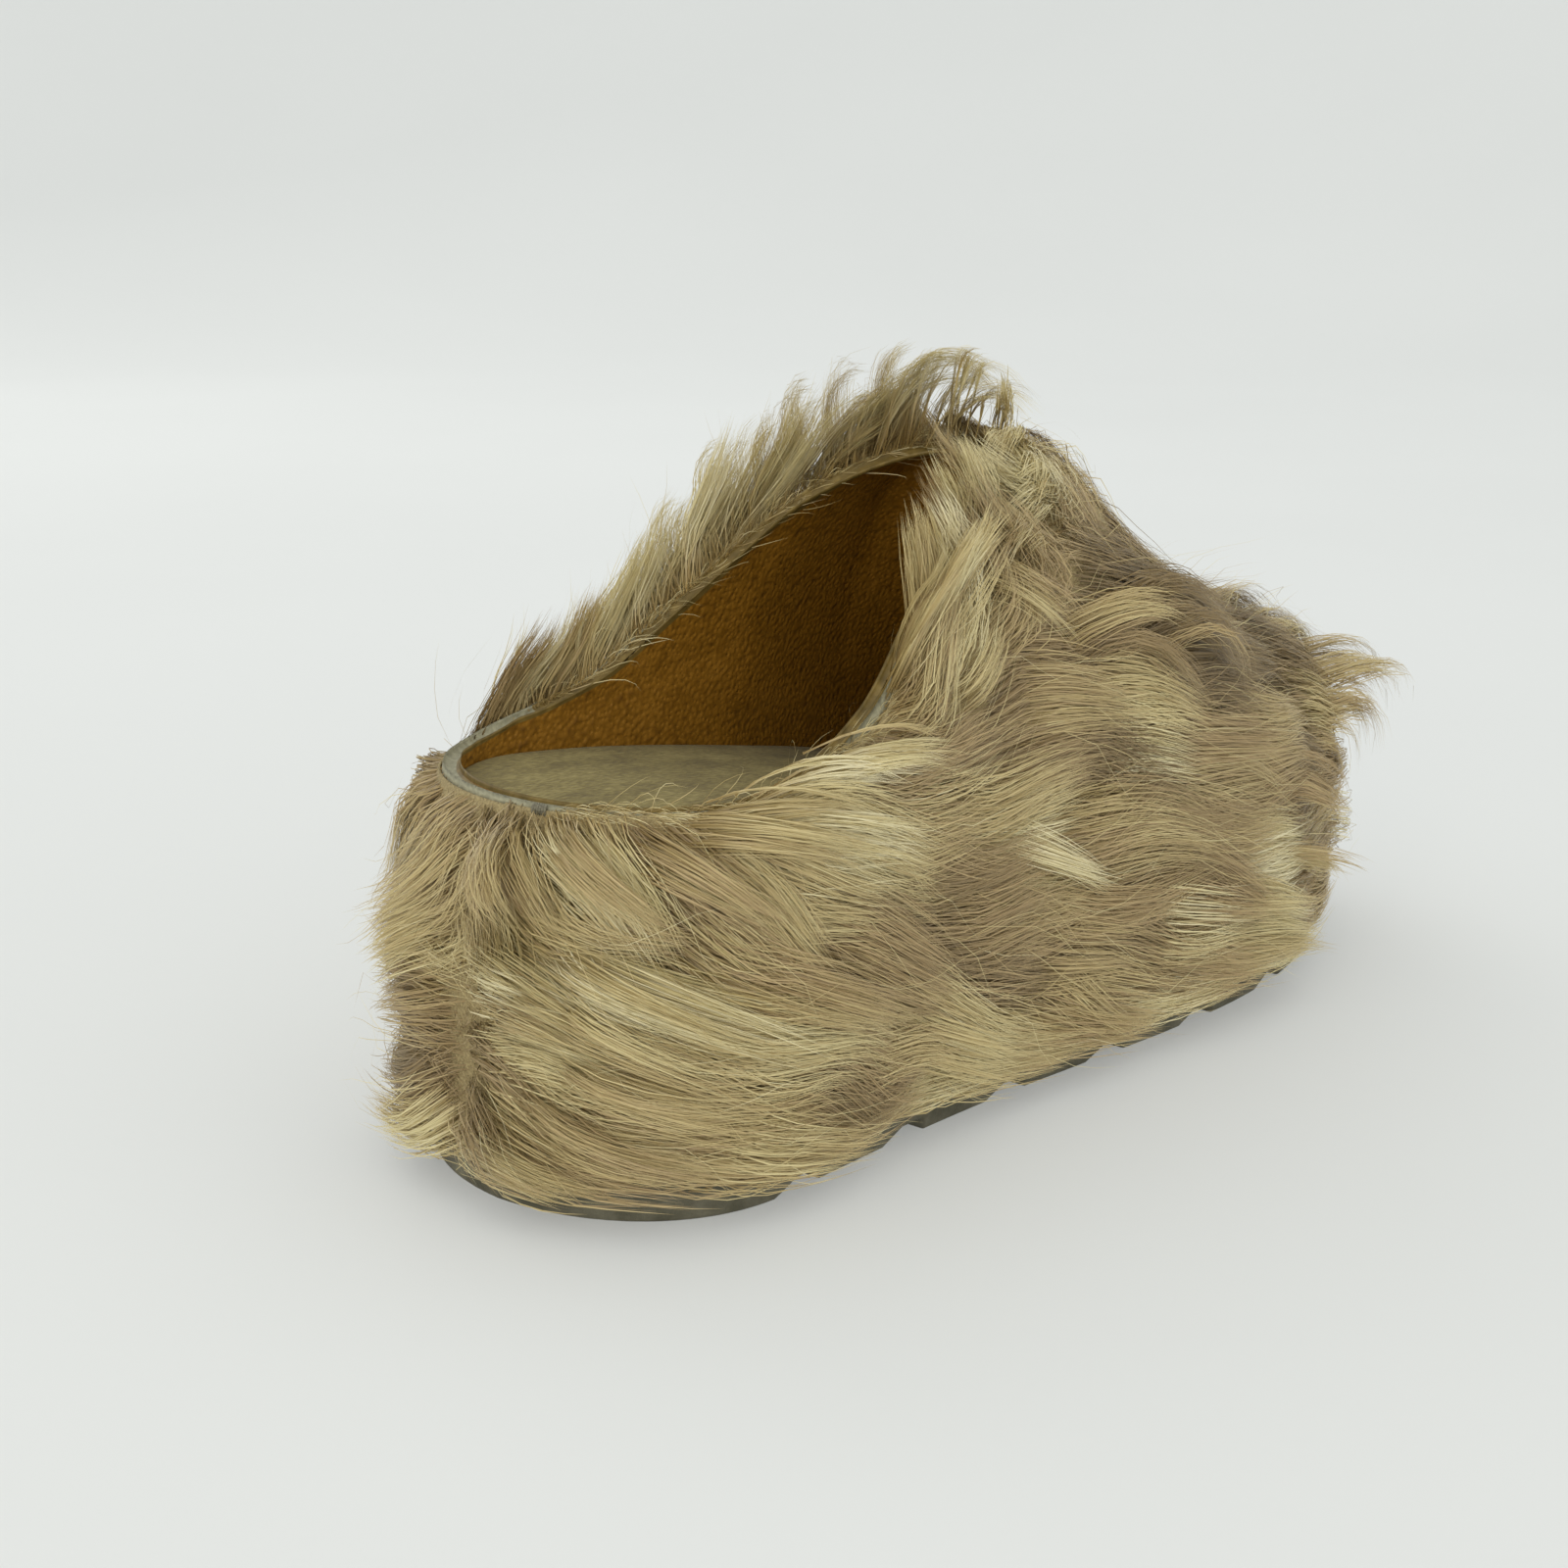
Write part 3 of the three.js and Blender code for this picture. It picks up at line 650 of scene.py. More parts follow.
def crease_depth(share, z, side):
    """Troughs on the lining, each a Gaussian across its line and a smooth bump along it."""
    total = 0 * z
    for of_side, start, above_bed, degrees, length, width, depth in crease_rows:
        if of_side != side:
            continue
        heading = math.radians(degrees)
        dx = share * sole_length - start
        dz = z - seat_z(start / sole_length) - above_bed
        run = (dx * math.cos(heading) + dz * math.sin(heading)) / length
        off = (dz * math.cos(heading) - dx * math.sin(heading)) / width
        fade = np.clip(4 * run * (1 - run), 0, 1) ** 0.6
        total = total + depth * fade * np.exp(-(off**2))
    return total


def wall_side(side):
    """A ring for one side: outside from the skirt up, the roll over the edge, lining down."""
    climb = np.linspace(0, 1, outer_rows)[:, None]
    outer = upper_point(share, climb * topline_turn(share, side, 0), side, 0)
    drop = np.linspace(1, 0, lining_rows)[:, None]
    turn = drop * topline_turn(share, side, wall)
    inner = upper_point(share, turn, side, wall)
    inwards = unit(inner - upper_point(share, turn, side, 0))
    inner = inner - inwards * crease_depth(share, inner[..., 2], side)[..., None]
    edge_out, edge_in = outer[-1], inner[0]
    along = np.gradient(edge_out, axis=0)
    through = edge_in - edge_out
    out_of_edge = unit(np.cross(along, through) * side)
    open_edge = (wall_shares < throat_share + 1e-6)[:, None]
    angle = np.linspace(0, np.pi, roll_rows + 2)[1:-1, None, None]
    middle = (edge_out + edge_in) / 2
    roll = (
        middle
        - np.cos(angle) * through / 2 * (1 + 0.25 * np.sin(angle))
        + np.sin(angle) * roll_height * out_of_edge * open_edge
    )
    return np.concatenate([outer, roll, inner])


# Width in mm of the bare band under the topline, along the length in mm from the heel: the
# shaved turn round the heel, and the parting low on the lateral collar. Where the collar is
# low the hide is turned over the edge; from there on leather makes the roll.
bare_width = {
    LATERAL: curve_through(
        [0, 1, 3, 46, 54, 64, 74, 84, 142], [0.9, 0.9, 0.3, 0.3, 2.0, 3.6, 1.4, 0.2, 0.2]
    ),
    MEDIAL: curve_through([0, 42, 50, 142], [1.2, 1.2, 0.3, 0.2]),
}
hide_turned_until = 46


def wall_kinds():
    """Material number of each face: 0 lining, 1 bare hide, 2 the roll's leather with its painted
    highlight.
    """
    from_heel = (wall_shares[:-1] + wall_shares[1:]) / 2 * sole_length
    hide_turned = (from_heel < hide_turned_until)[None, :]
    row = np.arange(outer_rows + roll_rows + lining_rows)[:, None]
    kind = np.where(row < outer_rows - 1, 1, 2)
    kind = np.where(hide_turned & (row < outer_rows + 4), 1, kind)
    return np.where(row >= outer_rows + roll_rows + 2, 0, kind)


upper_wall = ring_piece(
    "upper_wall",
    [wall_side(MEDIAL), wall_side(LATERAL)],
    [lining, hide, roll_leather_with_highlight],
    [wall_kinds(), wall_kinds()],
)
dressed(upper_wall, "lining_leather", "upper")

# %% Bar tacks
# Two short tacks hold the turned hide, one beside the heel's middle on the lateral side and
# one where the collar rises on the medial side. Their places are mm along the topline from
# the heel's middle. Each is a bar of stitches laid side by side across the roll: a stitch is
# a bowed tube, closed at both ends.
tack_places = [(MEDIAL, 66), (LATERAL, 8)]
stitch_count, stitch_length, stitch_gap = 6, 2.4, 0.5
thread_radius, stitch_bow = 0.3, 0.6


def share_at_run(side, run):
    """Share of the length at which the topline has run so many mm from the heel's middle."""
    fine = throat_share * cosine_shares(800)
    line = upper_point(fine, topline_turn(fine, side, 0), side, 0)
    steps = np.linalg.norm(np.diff(line, axis=0), axis=1)
    return np.interp(run, np.append(0, np.cumsum(steps)), fine)


def bar_tack(side, run):
    """Tubes (around, along, xyz) of one tack, on the outside of the topline."""
    at = share_at_run(side, run + stitch_gap * (np.arange(stitch_count) - stitch_count / 2))
    edge = upper_point(at, topline_turn(at, side, 0), side, 0)
    lower = upper_point(at, topline_turn(at, side, 0, stitch_length), side, 0)
    along = np.gradient(edge, axis=0)
    out = np.cross(along, edge - lower) * -side
    out /= np.linalg.norm(out, axis=-1, keepdims=True)
    t = np.linspace(0, 1, 9)[None, :, None]
    line = edge[:, None] * (1 - t) + lower[:, None] * t
    line = line + (stitch_bow * np.sin(np.pi * t) + 0.2) * out[:, None]
    across = unit(along)[:, None, :]
    angle = np.linspace(0, 2 * np.pi, 9)[:-1, None, None]
    radius = thread_radius * np.sqrt(np.clip(1 - (2 * t - 1) ** 6, 0, 1))
    return [
        one + radius[0] * (np.cos(angle) * sideways + np.sin(angle) * outward)
        for one, sideways, outward in zip(line, across, out[:, None])
    ]


tubes = [tube for place in tack_places for tube in bar_tack(*place)]
tacks = ring_piece("bar_tacks", tubes, [thread])
dressed(tacks, None)

# %% [markdown]
# ## The hide as a field of places
# Hair needs three things from the hide: where it can root, which way is out, and how far
# away the hide is as the hair grows. All three come from one cloud of small cells over the
# upper and the platform's wrap. A cell knows its middle, its two edges, its normal and its
# area, and whether hair grows there.


# %% Cells of the hide
def wrap_hide(share, side, step, out=1.0):
    """The hide wrapped round the platform: the sole's outline, moved out, at a height step
    from 0 at the outsole to 1 at the skirt."""
    low = tread_z(share) + outsole_thickness + clearance
    high = skirt_z(share) - clearance
    y = centre_y(share) + side * half_width(share, side, -out)
    return to_xyz(station_x(share, -out), y, between(low, high, step))


def cells_of(grid):
    """Middle, edges, normal and area of each cell of a (rows, columns, xyz) grid."""
    a, b = grid[:-1, :-1], grid[:-1, 1:]
    c, d = grid[1:, 1:], grid[1:, :-1]
    middle = ((a + b + c + d) / 4).reshape(-1, 3)
    along = ((b - a + c - d) / 2).reshape(-1, 3)
    upward = ((d - a + c - b) / 2).reshape(-1, 3)
    normal = np.cross(along, upward)
    area = np.linalg.norm(normal, axis=1)
    normal = normal / (area[:, None] + 1e-9)
    core = middle * [1, 0, 0] + [0, 0, ball_seat_height]
    core[:, 0] = np.clip(core[:, 0], 10, sole_length - 60)
    normal *= np.sign((normal * (middle - core)).sum(1))[:, None]
    return middle, along, upward, normal, area


hide_shares = cosine_shares(150)[None, :]
steps = np.linspace(0, 1, 33)[:, None]
wrap_steps = np.linspace(0, 1, 12)[:, None]
far_from_edge = 99.0
cells, grows, on_wrap, under_edge = [], [], [], []
for side in (MEDIAL, LATERAL):
    grid = upper_point(hide_shares, steps * topline_turn(hide_shares, side, 0), side, 0)
    found = cells_of(grid)
    at = (found[0][:, 0] + heel_tread_centre) / sole_length
    below = topline_z(at, side) - found[0][:, 2]
    bare = (at < throat_share) & (below < bare_width[side](at * sole_length))
    past_band = below - bare_width[side](at * sole_length)
    cells.append(found)
    grows.append(np.where(bare, 0.0, 1.0))
    under_edge.append(np.where(at < throat_share, past_band, (at - throat_share) * sole_length))
    on_wrap.append(np.zeros(len(at), bool))
    found = cells_of(wrap_hide(hide_shares, side, wrap_steps))
    cells.append(found)
    grows.append(np.ones(len(found[0])))
    under_edge.append(np.full(len(found[0]), far_from_edge))
    on_wrap.append(np.ones(len(found[0]), bool))
hide_place, hide_along, hide_upward, hide_normal, hide_area = (
    np.concatenate(part) for part in zip(*cells)
)
hide_grows, hide_on_wrap = np.concatenate(grows), np.concatenate(on_wrap)
hide_under_edge = np.maximum(np.concatenate(under_edge), 0)
hide_square = (hide_place**2).sum(1)
print("hide cells", len(hide_place), "area", round(float((hide_area * hide_grows).sum())), "mm2")


def nearest_hide(points, block=4000):
    """Number of the nearest cell: the least of |hide|^2 - 2 point . hide, block by block."""
    parts = [
        (hide_square[None, :] - 2 * points[i : i + block] @ hide_place.T).argmin(1)
        for i in range(0, len(points), block)
    ]
    return np.concatenate(parts)


# %% [markdown]
# ## Underhair
# Under the long hair lies a short dense one, which fills the space between the locks. It is
# a shell over the hide that keeps the form of the coat, at about a quarter of its depth.


# %% Underhair shells
def coat_at(share, side, z):
    """Depth of the coat: from its table, thinned to a quarter at the topline."""
    below = topline_z(share, side) - z
    left = np.where(share < throat_share, np.clip(below / 16, 0.06, 1), 1)
    return coat_thickness(share) * np.sqrt(left)


under_share = 0.28
share = cosine_shares(110)[None, :]


def underhair_side(side):
    climb = np.linspace(0, 1, 18)[:, None]
    band = bare_width[side](share * sole_length) + 0.4
    turn = climb * topline_turn(share, side, 0, band)
    skin = upper_point(share, turn, side, -0.2)
    depth = under_share * coat_at(share, side, skin[..., 2]) * np.sqrt(np.clip(climb * 12, 0.1, 1))
    out = upper_point(share, turn, side, -depth)
    return np.concatenate([out, skin[::-1]])


upper_sides = [underhair_side(side) for side in (MEDIAL, LATERAL)]
under_upper = ring_piece("underhair_upper", upper_sides, [underhair])
dressed(under_upper, "fur", "upper_fur")


def underwrap_side(side):
    step = np.linspace(0, 1, 9)[:, None]
    bulge = np.sqrt(np.maximum(0, 1 - (2 * step - 1) ** 4))
    out = [wrap_hide(share, side, s, 1 + under_share * wrap_coat * b) for s, b in zip(step, bulge)]
    skin = wrap_hide(share, side, step, 0.3)
    return np.concatenate([np.concatenate(out), skin[::-1]])


wrap_sides = [underwrap_side(side) for side in (MEDIAL, LATERAL)]
under_wrap = ring_piece("underhair_wrap", wrap_sides, [underhair])
dressed(under_wrap, "fur", "platform_fur")

# %% [markdown]
# ## Combing
# Long hair lies the way it grew and the way it was last stroked. That is set by a table of
# places round the shoe, which says where the hair heads, how long it is and how far its tips
# lift. Between the places the headings blend by nearness. The parting down the back seam,
# the locks that stand round the collar, the swirl on the vamp and the tips that droop over
# the toe all come from these rows.

# %% The comb
# Place: mm from the heel, across (medial is plus) and up. Heading: ahead, across, up. Then
# length and tip lift in mm; a lift below 0 presses the coat flatter by so much.
comb_rows = [
    # back seam, from the collar down
    (0, 0, 70, 0.0, -0.5, -0.9, 26, 3),
    (0, 10, 70, 0.0, 0.5, -0.9, 26, 3),
    (-3, -2, 56, 0.1, -0.7, -0.7, 26, 5),
    (-3, 12, 56, 0.1, 0.8, -0.6, 26, 5),
    (-3, -1, 46, 0.0, -0.6, 0.1, 24, 7),
    (-3, 11, 46, 0.0, 0.8, 0.1, 24, 7),
    (-5, -2, 33, 0.0, -1.0, 0.0, 30, 3),
    (-5, 12, 33, 0.0, 1.0, 0.0, 30, 3),
    (-5, -2, 14, 0.0, -0.7, -0.7, 26, 4),
    (-5, 12, 14, 0.0, 0.7, -0.7, 26, 4),
    # lateral side of the heel
    (4, -22, 66, 0.30, -0.50, -0.80, 34, 2),
    (12, -34, 62, 0.60, -0.40, -0.70, 36, 2),
    (5, -24, 42, 0.45, -0.75, -0.45, 40, 3),
    (5, -24, 24, 0.50, -0.85, -0.15, 40, 2),
    (4, -20, 11, 0.40, -0.70, -0.45, 28, 3),
    (24, -40, 60, 0.85, -0.1, -0.62, 38, 2),
    (24, -42, 40, 0.90, -0.2, -0.42, 40, 2),
    (26, -42, 20, 0.95, -0.2, -0.15, 38, 2),
    (24, -41, 11, 0.90, -0.1, -0.30, 26, 3),
    # lateral waist
    (46, -43, 66, 0.95, 0, -0.45, 36, 2),
    (46, -43, 36, 0.95, 0, -0.30, 38, 3),
    (44, -43, 17, 0.45, 0, -0.75, 26, 4),
    (54, -43, 18, 0.75, 0, 0.45, 26, 3),
    (70, -44, 60, 1.0, 0, -0.22, 38, 2),
    (72, -45, 36, 1.0, 0, -0.30, 38, 4),
    (72, -46, 15, 0.9, 0, -0.35, 26, 3),
    (62, -40, 80, 1.0, 0, -0.30, 30, 2),
    (96, -47, 52, 1.0, 0, 0.05, 38, 3),
    (98, -49, 30, 1.0, 0, -0.20, 36, 4),
    (100, -50, 12, 0.9, 0, -0.45, 26, 4),
    # lateral collar, where the hair stands over the edge
    (76, -41, 92, 0.55, 0.05, 0.80, 22, 2),
    (86, -40, 100, 0.20, 0.15, 1.00, 20, 3),
    (100, -38, 109, -0.10, 0.30, 0.90, 16, 3),
    (92, -45, 84, 0.95, 0, 0.20, 34, 3),
    (108, -43, 98, 0.85, -0.05, -0.35, 34, 3),
    (116, -33, 114, -0.50, 0.30, 0.10, 16, 3),
    (120, -47, 76, 1.0, 0, -0.15, 36, 3),
    (122, -50, 50, 1.0, 0, 0.12, 36, 4),
    # throat
    (135, -20, 122, -0.30, -0.20, -0.30, 20, 2),
    (139, -10, 127, -0.35, -0.15, 0.10, 20, 3),
    (141, 2, 128, -0.25, 0.15, 0.30, 22, 6),
    (139, 10, 128, 0.05, 0.40, 0.40, 28, 9),
    (132, 20, 124, 0.15, 0.35, 0.80, 36, 12),
    (147, -14, 122, 0.80, -0.50, -0.60, 32, -6),
    (147, 8, 124, 0.90, 0.10, -0.60, 32, -6),
    # vamp
    (148, -26, 114, 0.80, -0.60, -0.60, 36, -6),
    (150, -10, 118, 0.90, -0.40, -0.60, 36, -6.5),
    (152, 6, 116, 0.95, -0.20, -0.60, 36, -6.5),
    (152, 26, 106, 0.90, 0.35, -0.60, 36, -5),
    (163, -8, 104, 0.90, -0.40, -0.60, 34, -6.5),
    (164, 10, 102, 0.95, 0.20, -0.60, 34, -6),
    (150, -44, 80, 0.95, -0.1, -0.30, 36, 4),
    (150, -51, 45, 1.0, 0, -0.12, 36, 4),
    (150, -51, 22, 0.9, 0, -0.40, 28, 5),
    (174, -20, 90, 0.20, -0.95, 0.10, 32, -3),
    (178, 4, 90, 0.95, -0.25, 0.10, 34, -5),
    (180, 26, 80, 0.90, 0.35, -0.10, 34, -3),
    (176, -42, 68, 0.90, -0.2, -0.35, 34, 5),
    (180, -51, 40, 1.0, 0, 0.10, 34, 5),
    (180, -51, 20, 0.9, 0, -0.35, 28, 5),
    # toe
    (198, -10, 82, 1.0, -0.25, 0.15, 30, -1),
    (208, -14, 80, 1.0, -0.25, 0.15, 34, 2),
    (206, 16, 80, 1.0, 0.25, 0.10, 32, 2),
    (210, -40, 60, 0.70, -0.30, -0.60, 28, -3),
    (214, -46, 34, 0.90, -0.10, 0.10, 26, -5),
    (212, -46, 20, 0.9, -0.1, -0.10, 24, -3),
    (212, 44, 50, 0.95, 0.25, -0.25, 32, 5),
    (214, 46, 24, 0.9, 0, -0.35, 26, 5),
    (226, -14, 76, 1.0, -0.35, 0.10, 38, 6),
    (236, -14, 72, 1.0, -0.35, 0.00, 40, 10),
    (232, 14, 74, 1.0, 0.15, 0.05, 34, 8),
    (242, -26, 56, 0.35, -0.35, -0.85, 26, -4),
    (236, -32, 34, 0.60, -0.30, -0.10, 24, -6),
    (244, 30, 52, 0.75, 0.35, -0.50, 30, 6),
    (250, 4, 44, 0.60, 0.0, -0.80, 28, 0),
    (250, 4, 22, 0.60, -0.2, -0.70, 24, 0),
    # medial side, which stands up behind the collar
    (4, 26, 64, 0.30, 0.50, -0.80, 34, 2),
    (5, 26, 28, 0.50, 0.85, -0.25, 38, 3),
    (26, 40, 60, 0.90, 0, -0.55, 36, 3),
    (26, 41, 26, 0.95, 0, -0.25, 38, 3),
    (24, 40, 11, 0.90, 0, -0.35, 26, 3),
    (46, 38, 76, 0.75, 0.1, 0.60, 28, 5),
    (60, 38, 52, 1.0, 0, -0.15, 36, 3),
    (62, 38, 24, 0.95, 0, -0.30, 36, 3),
    (52, 38, 70, 0.80, 0.05, 0.45, 32, 5),
    (66, 38, 78, 0.75, 0.10, 0.60, 34, 7),
    (74, 36, 90, 0.70, 0.15, 0.75, 32, 8),
    (86, 38, 90, 0.70, 0.12, 0.70, 36, 8),
    (92, 36, 104, 0.55, 0.15, 0.85, 34, 9),
    (104, 37, 100, 0.65, 0.12, 0.75, 38, 9),
    (112, 34, 114, 0.50, 0.15, 0.85, 36, 10),
    (124, 28, 118, 0.35, 0.10, 0.90, 36, 12),
    (96, 38, 66, 1.0, 0, -0.05, 36, 3),
    (96, 36, 28, 0.95, 0, -0.30, 34, 4),
    (128, 42, 80, 1.0, 0.05, -0.10, 36, 4),
    (130, 42, 30, 0.95, 0, -0.30, 32, 4),
    (164, 46, 62, 1.0, 0.05, -0.25, 34, 4),
    (168, 49, 28, 0.95, 0, -0.30, 30, 4),
]
comb = np.array(comb_rows, float)
comb_place, comb_values = comb[:, :3], comb[:, 3:]
seam_y = 5


def combed(points):
    """Heading, length and lift at points: each comb row counts by 1 / (distance^2 + reach^2)
    squared, so the nearest rows rule and the change between them is smooth. At the heel the
    rows beyond the seam hardly count, which keeps the parting sharp."""
    at = points + [heel_tread_centre, 0, 0]
    square = ((at[:, None, :] - comb_place[None, :, :]) ** 2).sum(-1)
    weight = 1 / (square + 5.0**2) ** 2
    across_seam = (at[:, None, 1] - seam_y) * (comb_place[None, :, 1] - seam_y) < 0
    weight = np.where(across_seam & (at[:, None, 0] < 30), 0.03 * weight, weight)
    weight /= weight.sum(1, keepdims=True)
    found = weight @ comb_values
    return unit(found[:, :3]), found[:, 3], found[:, 4]


def ripple(points, size_mm, phase):
    """A smooth field between -1 and 1: three crossed sine waves of about that size."""
    k = 2 * np.pi / size_mm
    x, y, z = (points * k).T
    one = np.sin(x + 0.7 * z + phase) * np.cos(0.8 * y - 0.6 * z + 2 * phase)
    two = np.sin(0.6 * x - 0.9 * y + 1.3 * z + 3 * phase)
    return 0.6 * one + 0.4 * two


# %% [markdown]
# ## Growing locks
# Hair gathers in small locks, and small locks gather in large ones. So a few hundred leading
# locks are grown first, then thousands of guide lines, each drawn towards its nearest leader.
# A line roots in a cell chosen by area and takes many short steps. At each step it looks up
# the nearest hide, lies along the comb's heading in the hide's plane, swings left and right
# in a slow wave that its neighbours share, and climbs or sinks towards its own layer of the
# coat. So no guide cuts through the shoe, and where the hide ends the hair goes on in its
# plane.

# %% Guides
chance = np.random.default_rng(20)
guide_count = 3700
guide_steps = 12
leader_count = 620
hem_height = 9.0
hem_rise = 3.0
seam_reach = 7.0
facing_reach = 14


def plant(count):
    """Root places by area, crowded below the topline and at the back seam, each anywhere in
    its cell, and the numbers of their cells."""
    topline = 4.0 * np.exp(-((hide_under_edge / 5) ** 2))
    beside_seam = (hide_place[:, 1] - seam_y) ** 2 / seam_reach**2
    back_seam = 3.0 * np.exp(-beside_seam) * (hide_place[:, 0] < 0)
    share_of_area = hide_area * hide_grows * (1 + topline + back_seam)
    cell = chance.choice(len(hide_area), count, p=share_of_area / share_of_area.sum())
    shift = chance.uniform(-0.5, 0.5, (count, 2))
    place = hide_place[cell] + shift[:, :1] * hide_along[cell] + shift[:, 1:] * hide_upward[cell]
    return place, cell


def hem_z(x):
    """Height where the coat's lower edge lies, a little further off the tread ahead."""
    return tread_z(share_of(x)) + (hem_height + hem_rise * np.clip(x / sole_length, 0, 1))


def coat_depth(points):
    at = share_of(points[:, 0])
    return np.where(points[:, 2] < skirt_z(at), wrap_coat, coat_thickness(at))


def grow(root, cell, layer, length, wave, wave_length, stray):
    """Guide lines from the roots, as an array (guide, step, xyz)."""
    step = length / guide_steps
    phase = 4.0 * ripple(root, 90, 0.4) + chance.normal(0, 0.4, len(root))
    bias = chance.normal(0, stray, len(root))
    lowest = hem_z(root[:, 0]) + chance.triangular(-3, 0, 3, len(root))
    place = root - 0.4 * hide_normal[cell]
    line = [place]
    for i in range(guide_steps):
        t = (i + 1) / guide_steps
        near = nearest_hide(place)
        out = hide_normal[near]
        height = ((place - hide_place[near]) * out).sum(1)
        heading, _, lift = combed(place)
        to_hem = np.clip((place[:, 2] - lowest) / 9, 0, 1)
        heading[:, 2] = np.where(heading[:, 2] < 0, heading[:, 2] * to_hem, heading[:, 2])
        flat = unit(heading - (heading * out).sum(1, keepdims=True) * out)
        swing = wave * np.sin(2 * np.pi * i * step / wave_length + phase) + bias
        aside = np.cross(out, flat)
        flat = np.cos(swing)[:, None] * flat + np.sin(swing)[:, None] * aside
        ease = np.clip(t / 0.25, 0, 1)
        coat = layer * (coat_depth(place) + np.minimum(lift, 0))
        want = coat * ease * ease * (3 - 2 * ease) + np.maximum(lift, 0) * (0.4 + layer) * t**2
        climb = np.clip((want - height) / step, -0.9, 1.6)
        place = place + unit(flat + climb[:, None] * out) * step[:, None]
        place[:, 2] = np.maximum(place[:, 2], lowest)
        line.append(place)
    return np.stack(line, 1)


lead_root, lead_cell = plant(leader_count)
lead_layer = chance.uniform(0.3, 1.0, leader_count)
lead_length = combed(lead_root)[1] * chance.uniform(0.95, 1.35, leader_count)
lead_wave = chance.uniform(0.05, 0.4, leader_count)
lead_wave_length = chance.uniform(42, 75, leader_count)
leaders = grow(lead_root, lead_cell, lead_layer, lead_length, lead_wave, lead_wave_length, 0.16)

root, cell = plant(guide_count)


def near_in_pelt(root, cell, lead_root, lead_cell):
    """The nearest leader of each guide, where a change of the hide's facing counts as far."""
    own = np.hstack([root, facing_reach * hide_normal[cell]])
    lead = np.hstack([lead_root, facing_reach * hide_normal[lead_cell]])
    return ((own[:, None, :] - lead[None, :, :]) ** 2).sum(-1).argmin(1)


leader = near_in_pelt(root, cell, lead_root, lead_cell)
layer = np.clip(lead_layer[leader] + chance.normal(0, 0.15, guide_count), 0.2, 1.15)
length = lead_length[leader] * chance.uniform(0.75, 1.0, guide_count)
guides = grow(root, cell, layer, length, lead_wave[leader], lead_wave_length[leader], 0.1)
guide_t = np.linspace(0, 1, guide_steps + 1)[None, :, None]
beside = (root - lead_root[leader])[:, None, :]
pull = 0.7 * guide_t**1.3
guides = guides * (1 - pull) + (leaders[leader] + 0.35 * beside) * pull
apart = np.linalg.norm(beside, axis=-1, keepdims=True)
fullness = np.clip(1 + combed(root)[2] / 9, 0.25, 1)
ridge = 2.2 * (1 - np.clip(apart / 7, 0, 1) ** 2) * guide_t
ridge = (ridge - 0.8 * guide_t) * fullness[:, None, None]
guides = guides + ridge * hide_normal[cell][:, None, :]
print("leaders", leaders.shape, "guides", guides.shape)

# %% [markdown]
# ## Hairs
# Around each guide some two dozen hairs are grown, which run beside it and close towards its
# tip, as a lock does. A hair is a flat tapering ribbon of nine triangles. A real goat hair is
# under a tenth of a millimetre, less than the picture shows, so each ribbon stands for a few
# hairs side by side and is turned about its own line, which makes the lock glint unevenly.

# %% Hairs round the guides
hair_parts = 5
hair_width = 0.26
soft_ceiling, ceiling_give = 140, 6


def hairs_of(guides, cell, per_guide, spread, clump, fullness):
    """Centre lines (hair, point, xyz) of the hairs round each guide: the guide's line for
    the hair's own share of its length, plus an offset that shrinks as the lock closes. Where
    the coat lies thin the hairs spread less in its depth."""
    count = len(guides) * per_guide
    guide = np.repeat(np.arange(len(guides)), per_guide)
    out = hide_normal[cell][guide]
    ahead = unit(guides[guide, 3] - guides[guide, 0])
    aside = unit(np.cross(out, ahead))
    scatter = chance.normal(size=(count, 2)) * spread
    offset = scatter[:, :1] * aside + 0.7 * scatter[:, 1:] * np.cross(aside, out)
    flatter = 1 - 0.5 * fullness[guide, None]
    offset -= flatter * (offset * out).sum(1, keepdims=True) * out
    rooted = guides[guide, 0] + offset
    at = share_of(rooted[:, 0])
    for side in (MEDIAL, LATERAL):
        limit = topline_z(at, side) - bare_width[side](at * sole_length)
        over = (at < throat_share) & (rooted[:, 2] > limit) & (np.sign(rooted[:, 1]) == side)
        offset[over] = 0
    own = chance.uniform(0.72, 1.0, count)
    t = np.linspace(0, 1, hair_parts + 1) ** 0.85
    along = t[None, :] * own[:, None] * guide_steps
    low = np.minimum(along.astype(int), guide_steps - 1)
    part = (along - low)[..., None]
    line = guides[guide[:, None], low] * (1 - part) + guides[guide[:, None], low + 1] * part
    closing = 1 - clump[guide][:, None] * t[None, :] ** 1.1
    depth = chance.uniform(-1.0, 0.8, count)[:, None] * t[None, :] * 1.6
    depth = depth * fullness[guide, None]
    frizz = chance.normal(0, 0.5, (count, 1, 3)) * t[None, :, None] ** 2
    frizz = frizz + chance.normal(0, 0.05, (count, hair_parts + 1, 3))
    line = line + offset[:, None, :] * closing[..., None]
    line = line + depth[..., None] * out[:, None, :] + frizz
    lowest = hem_z(line[..., 0]) - chance.triangular(-1, 1, 7, (count, 1))
    line[..., 2] = np.maximum(line[..., 2], lowest)
    above_soft = np.maximum(line[..., 2] - soft_ceiling, 0)
    line[..., 2] -= above_soft - ceiling_give * np.tanh(above_soft / ceiling_give)
    return line, guide, t


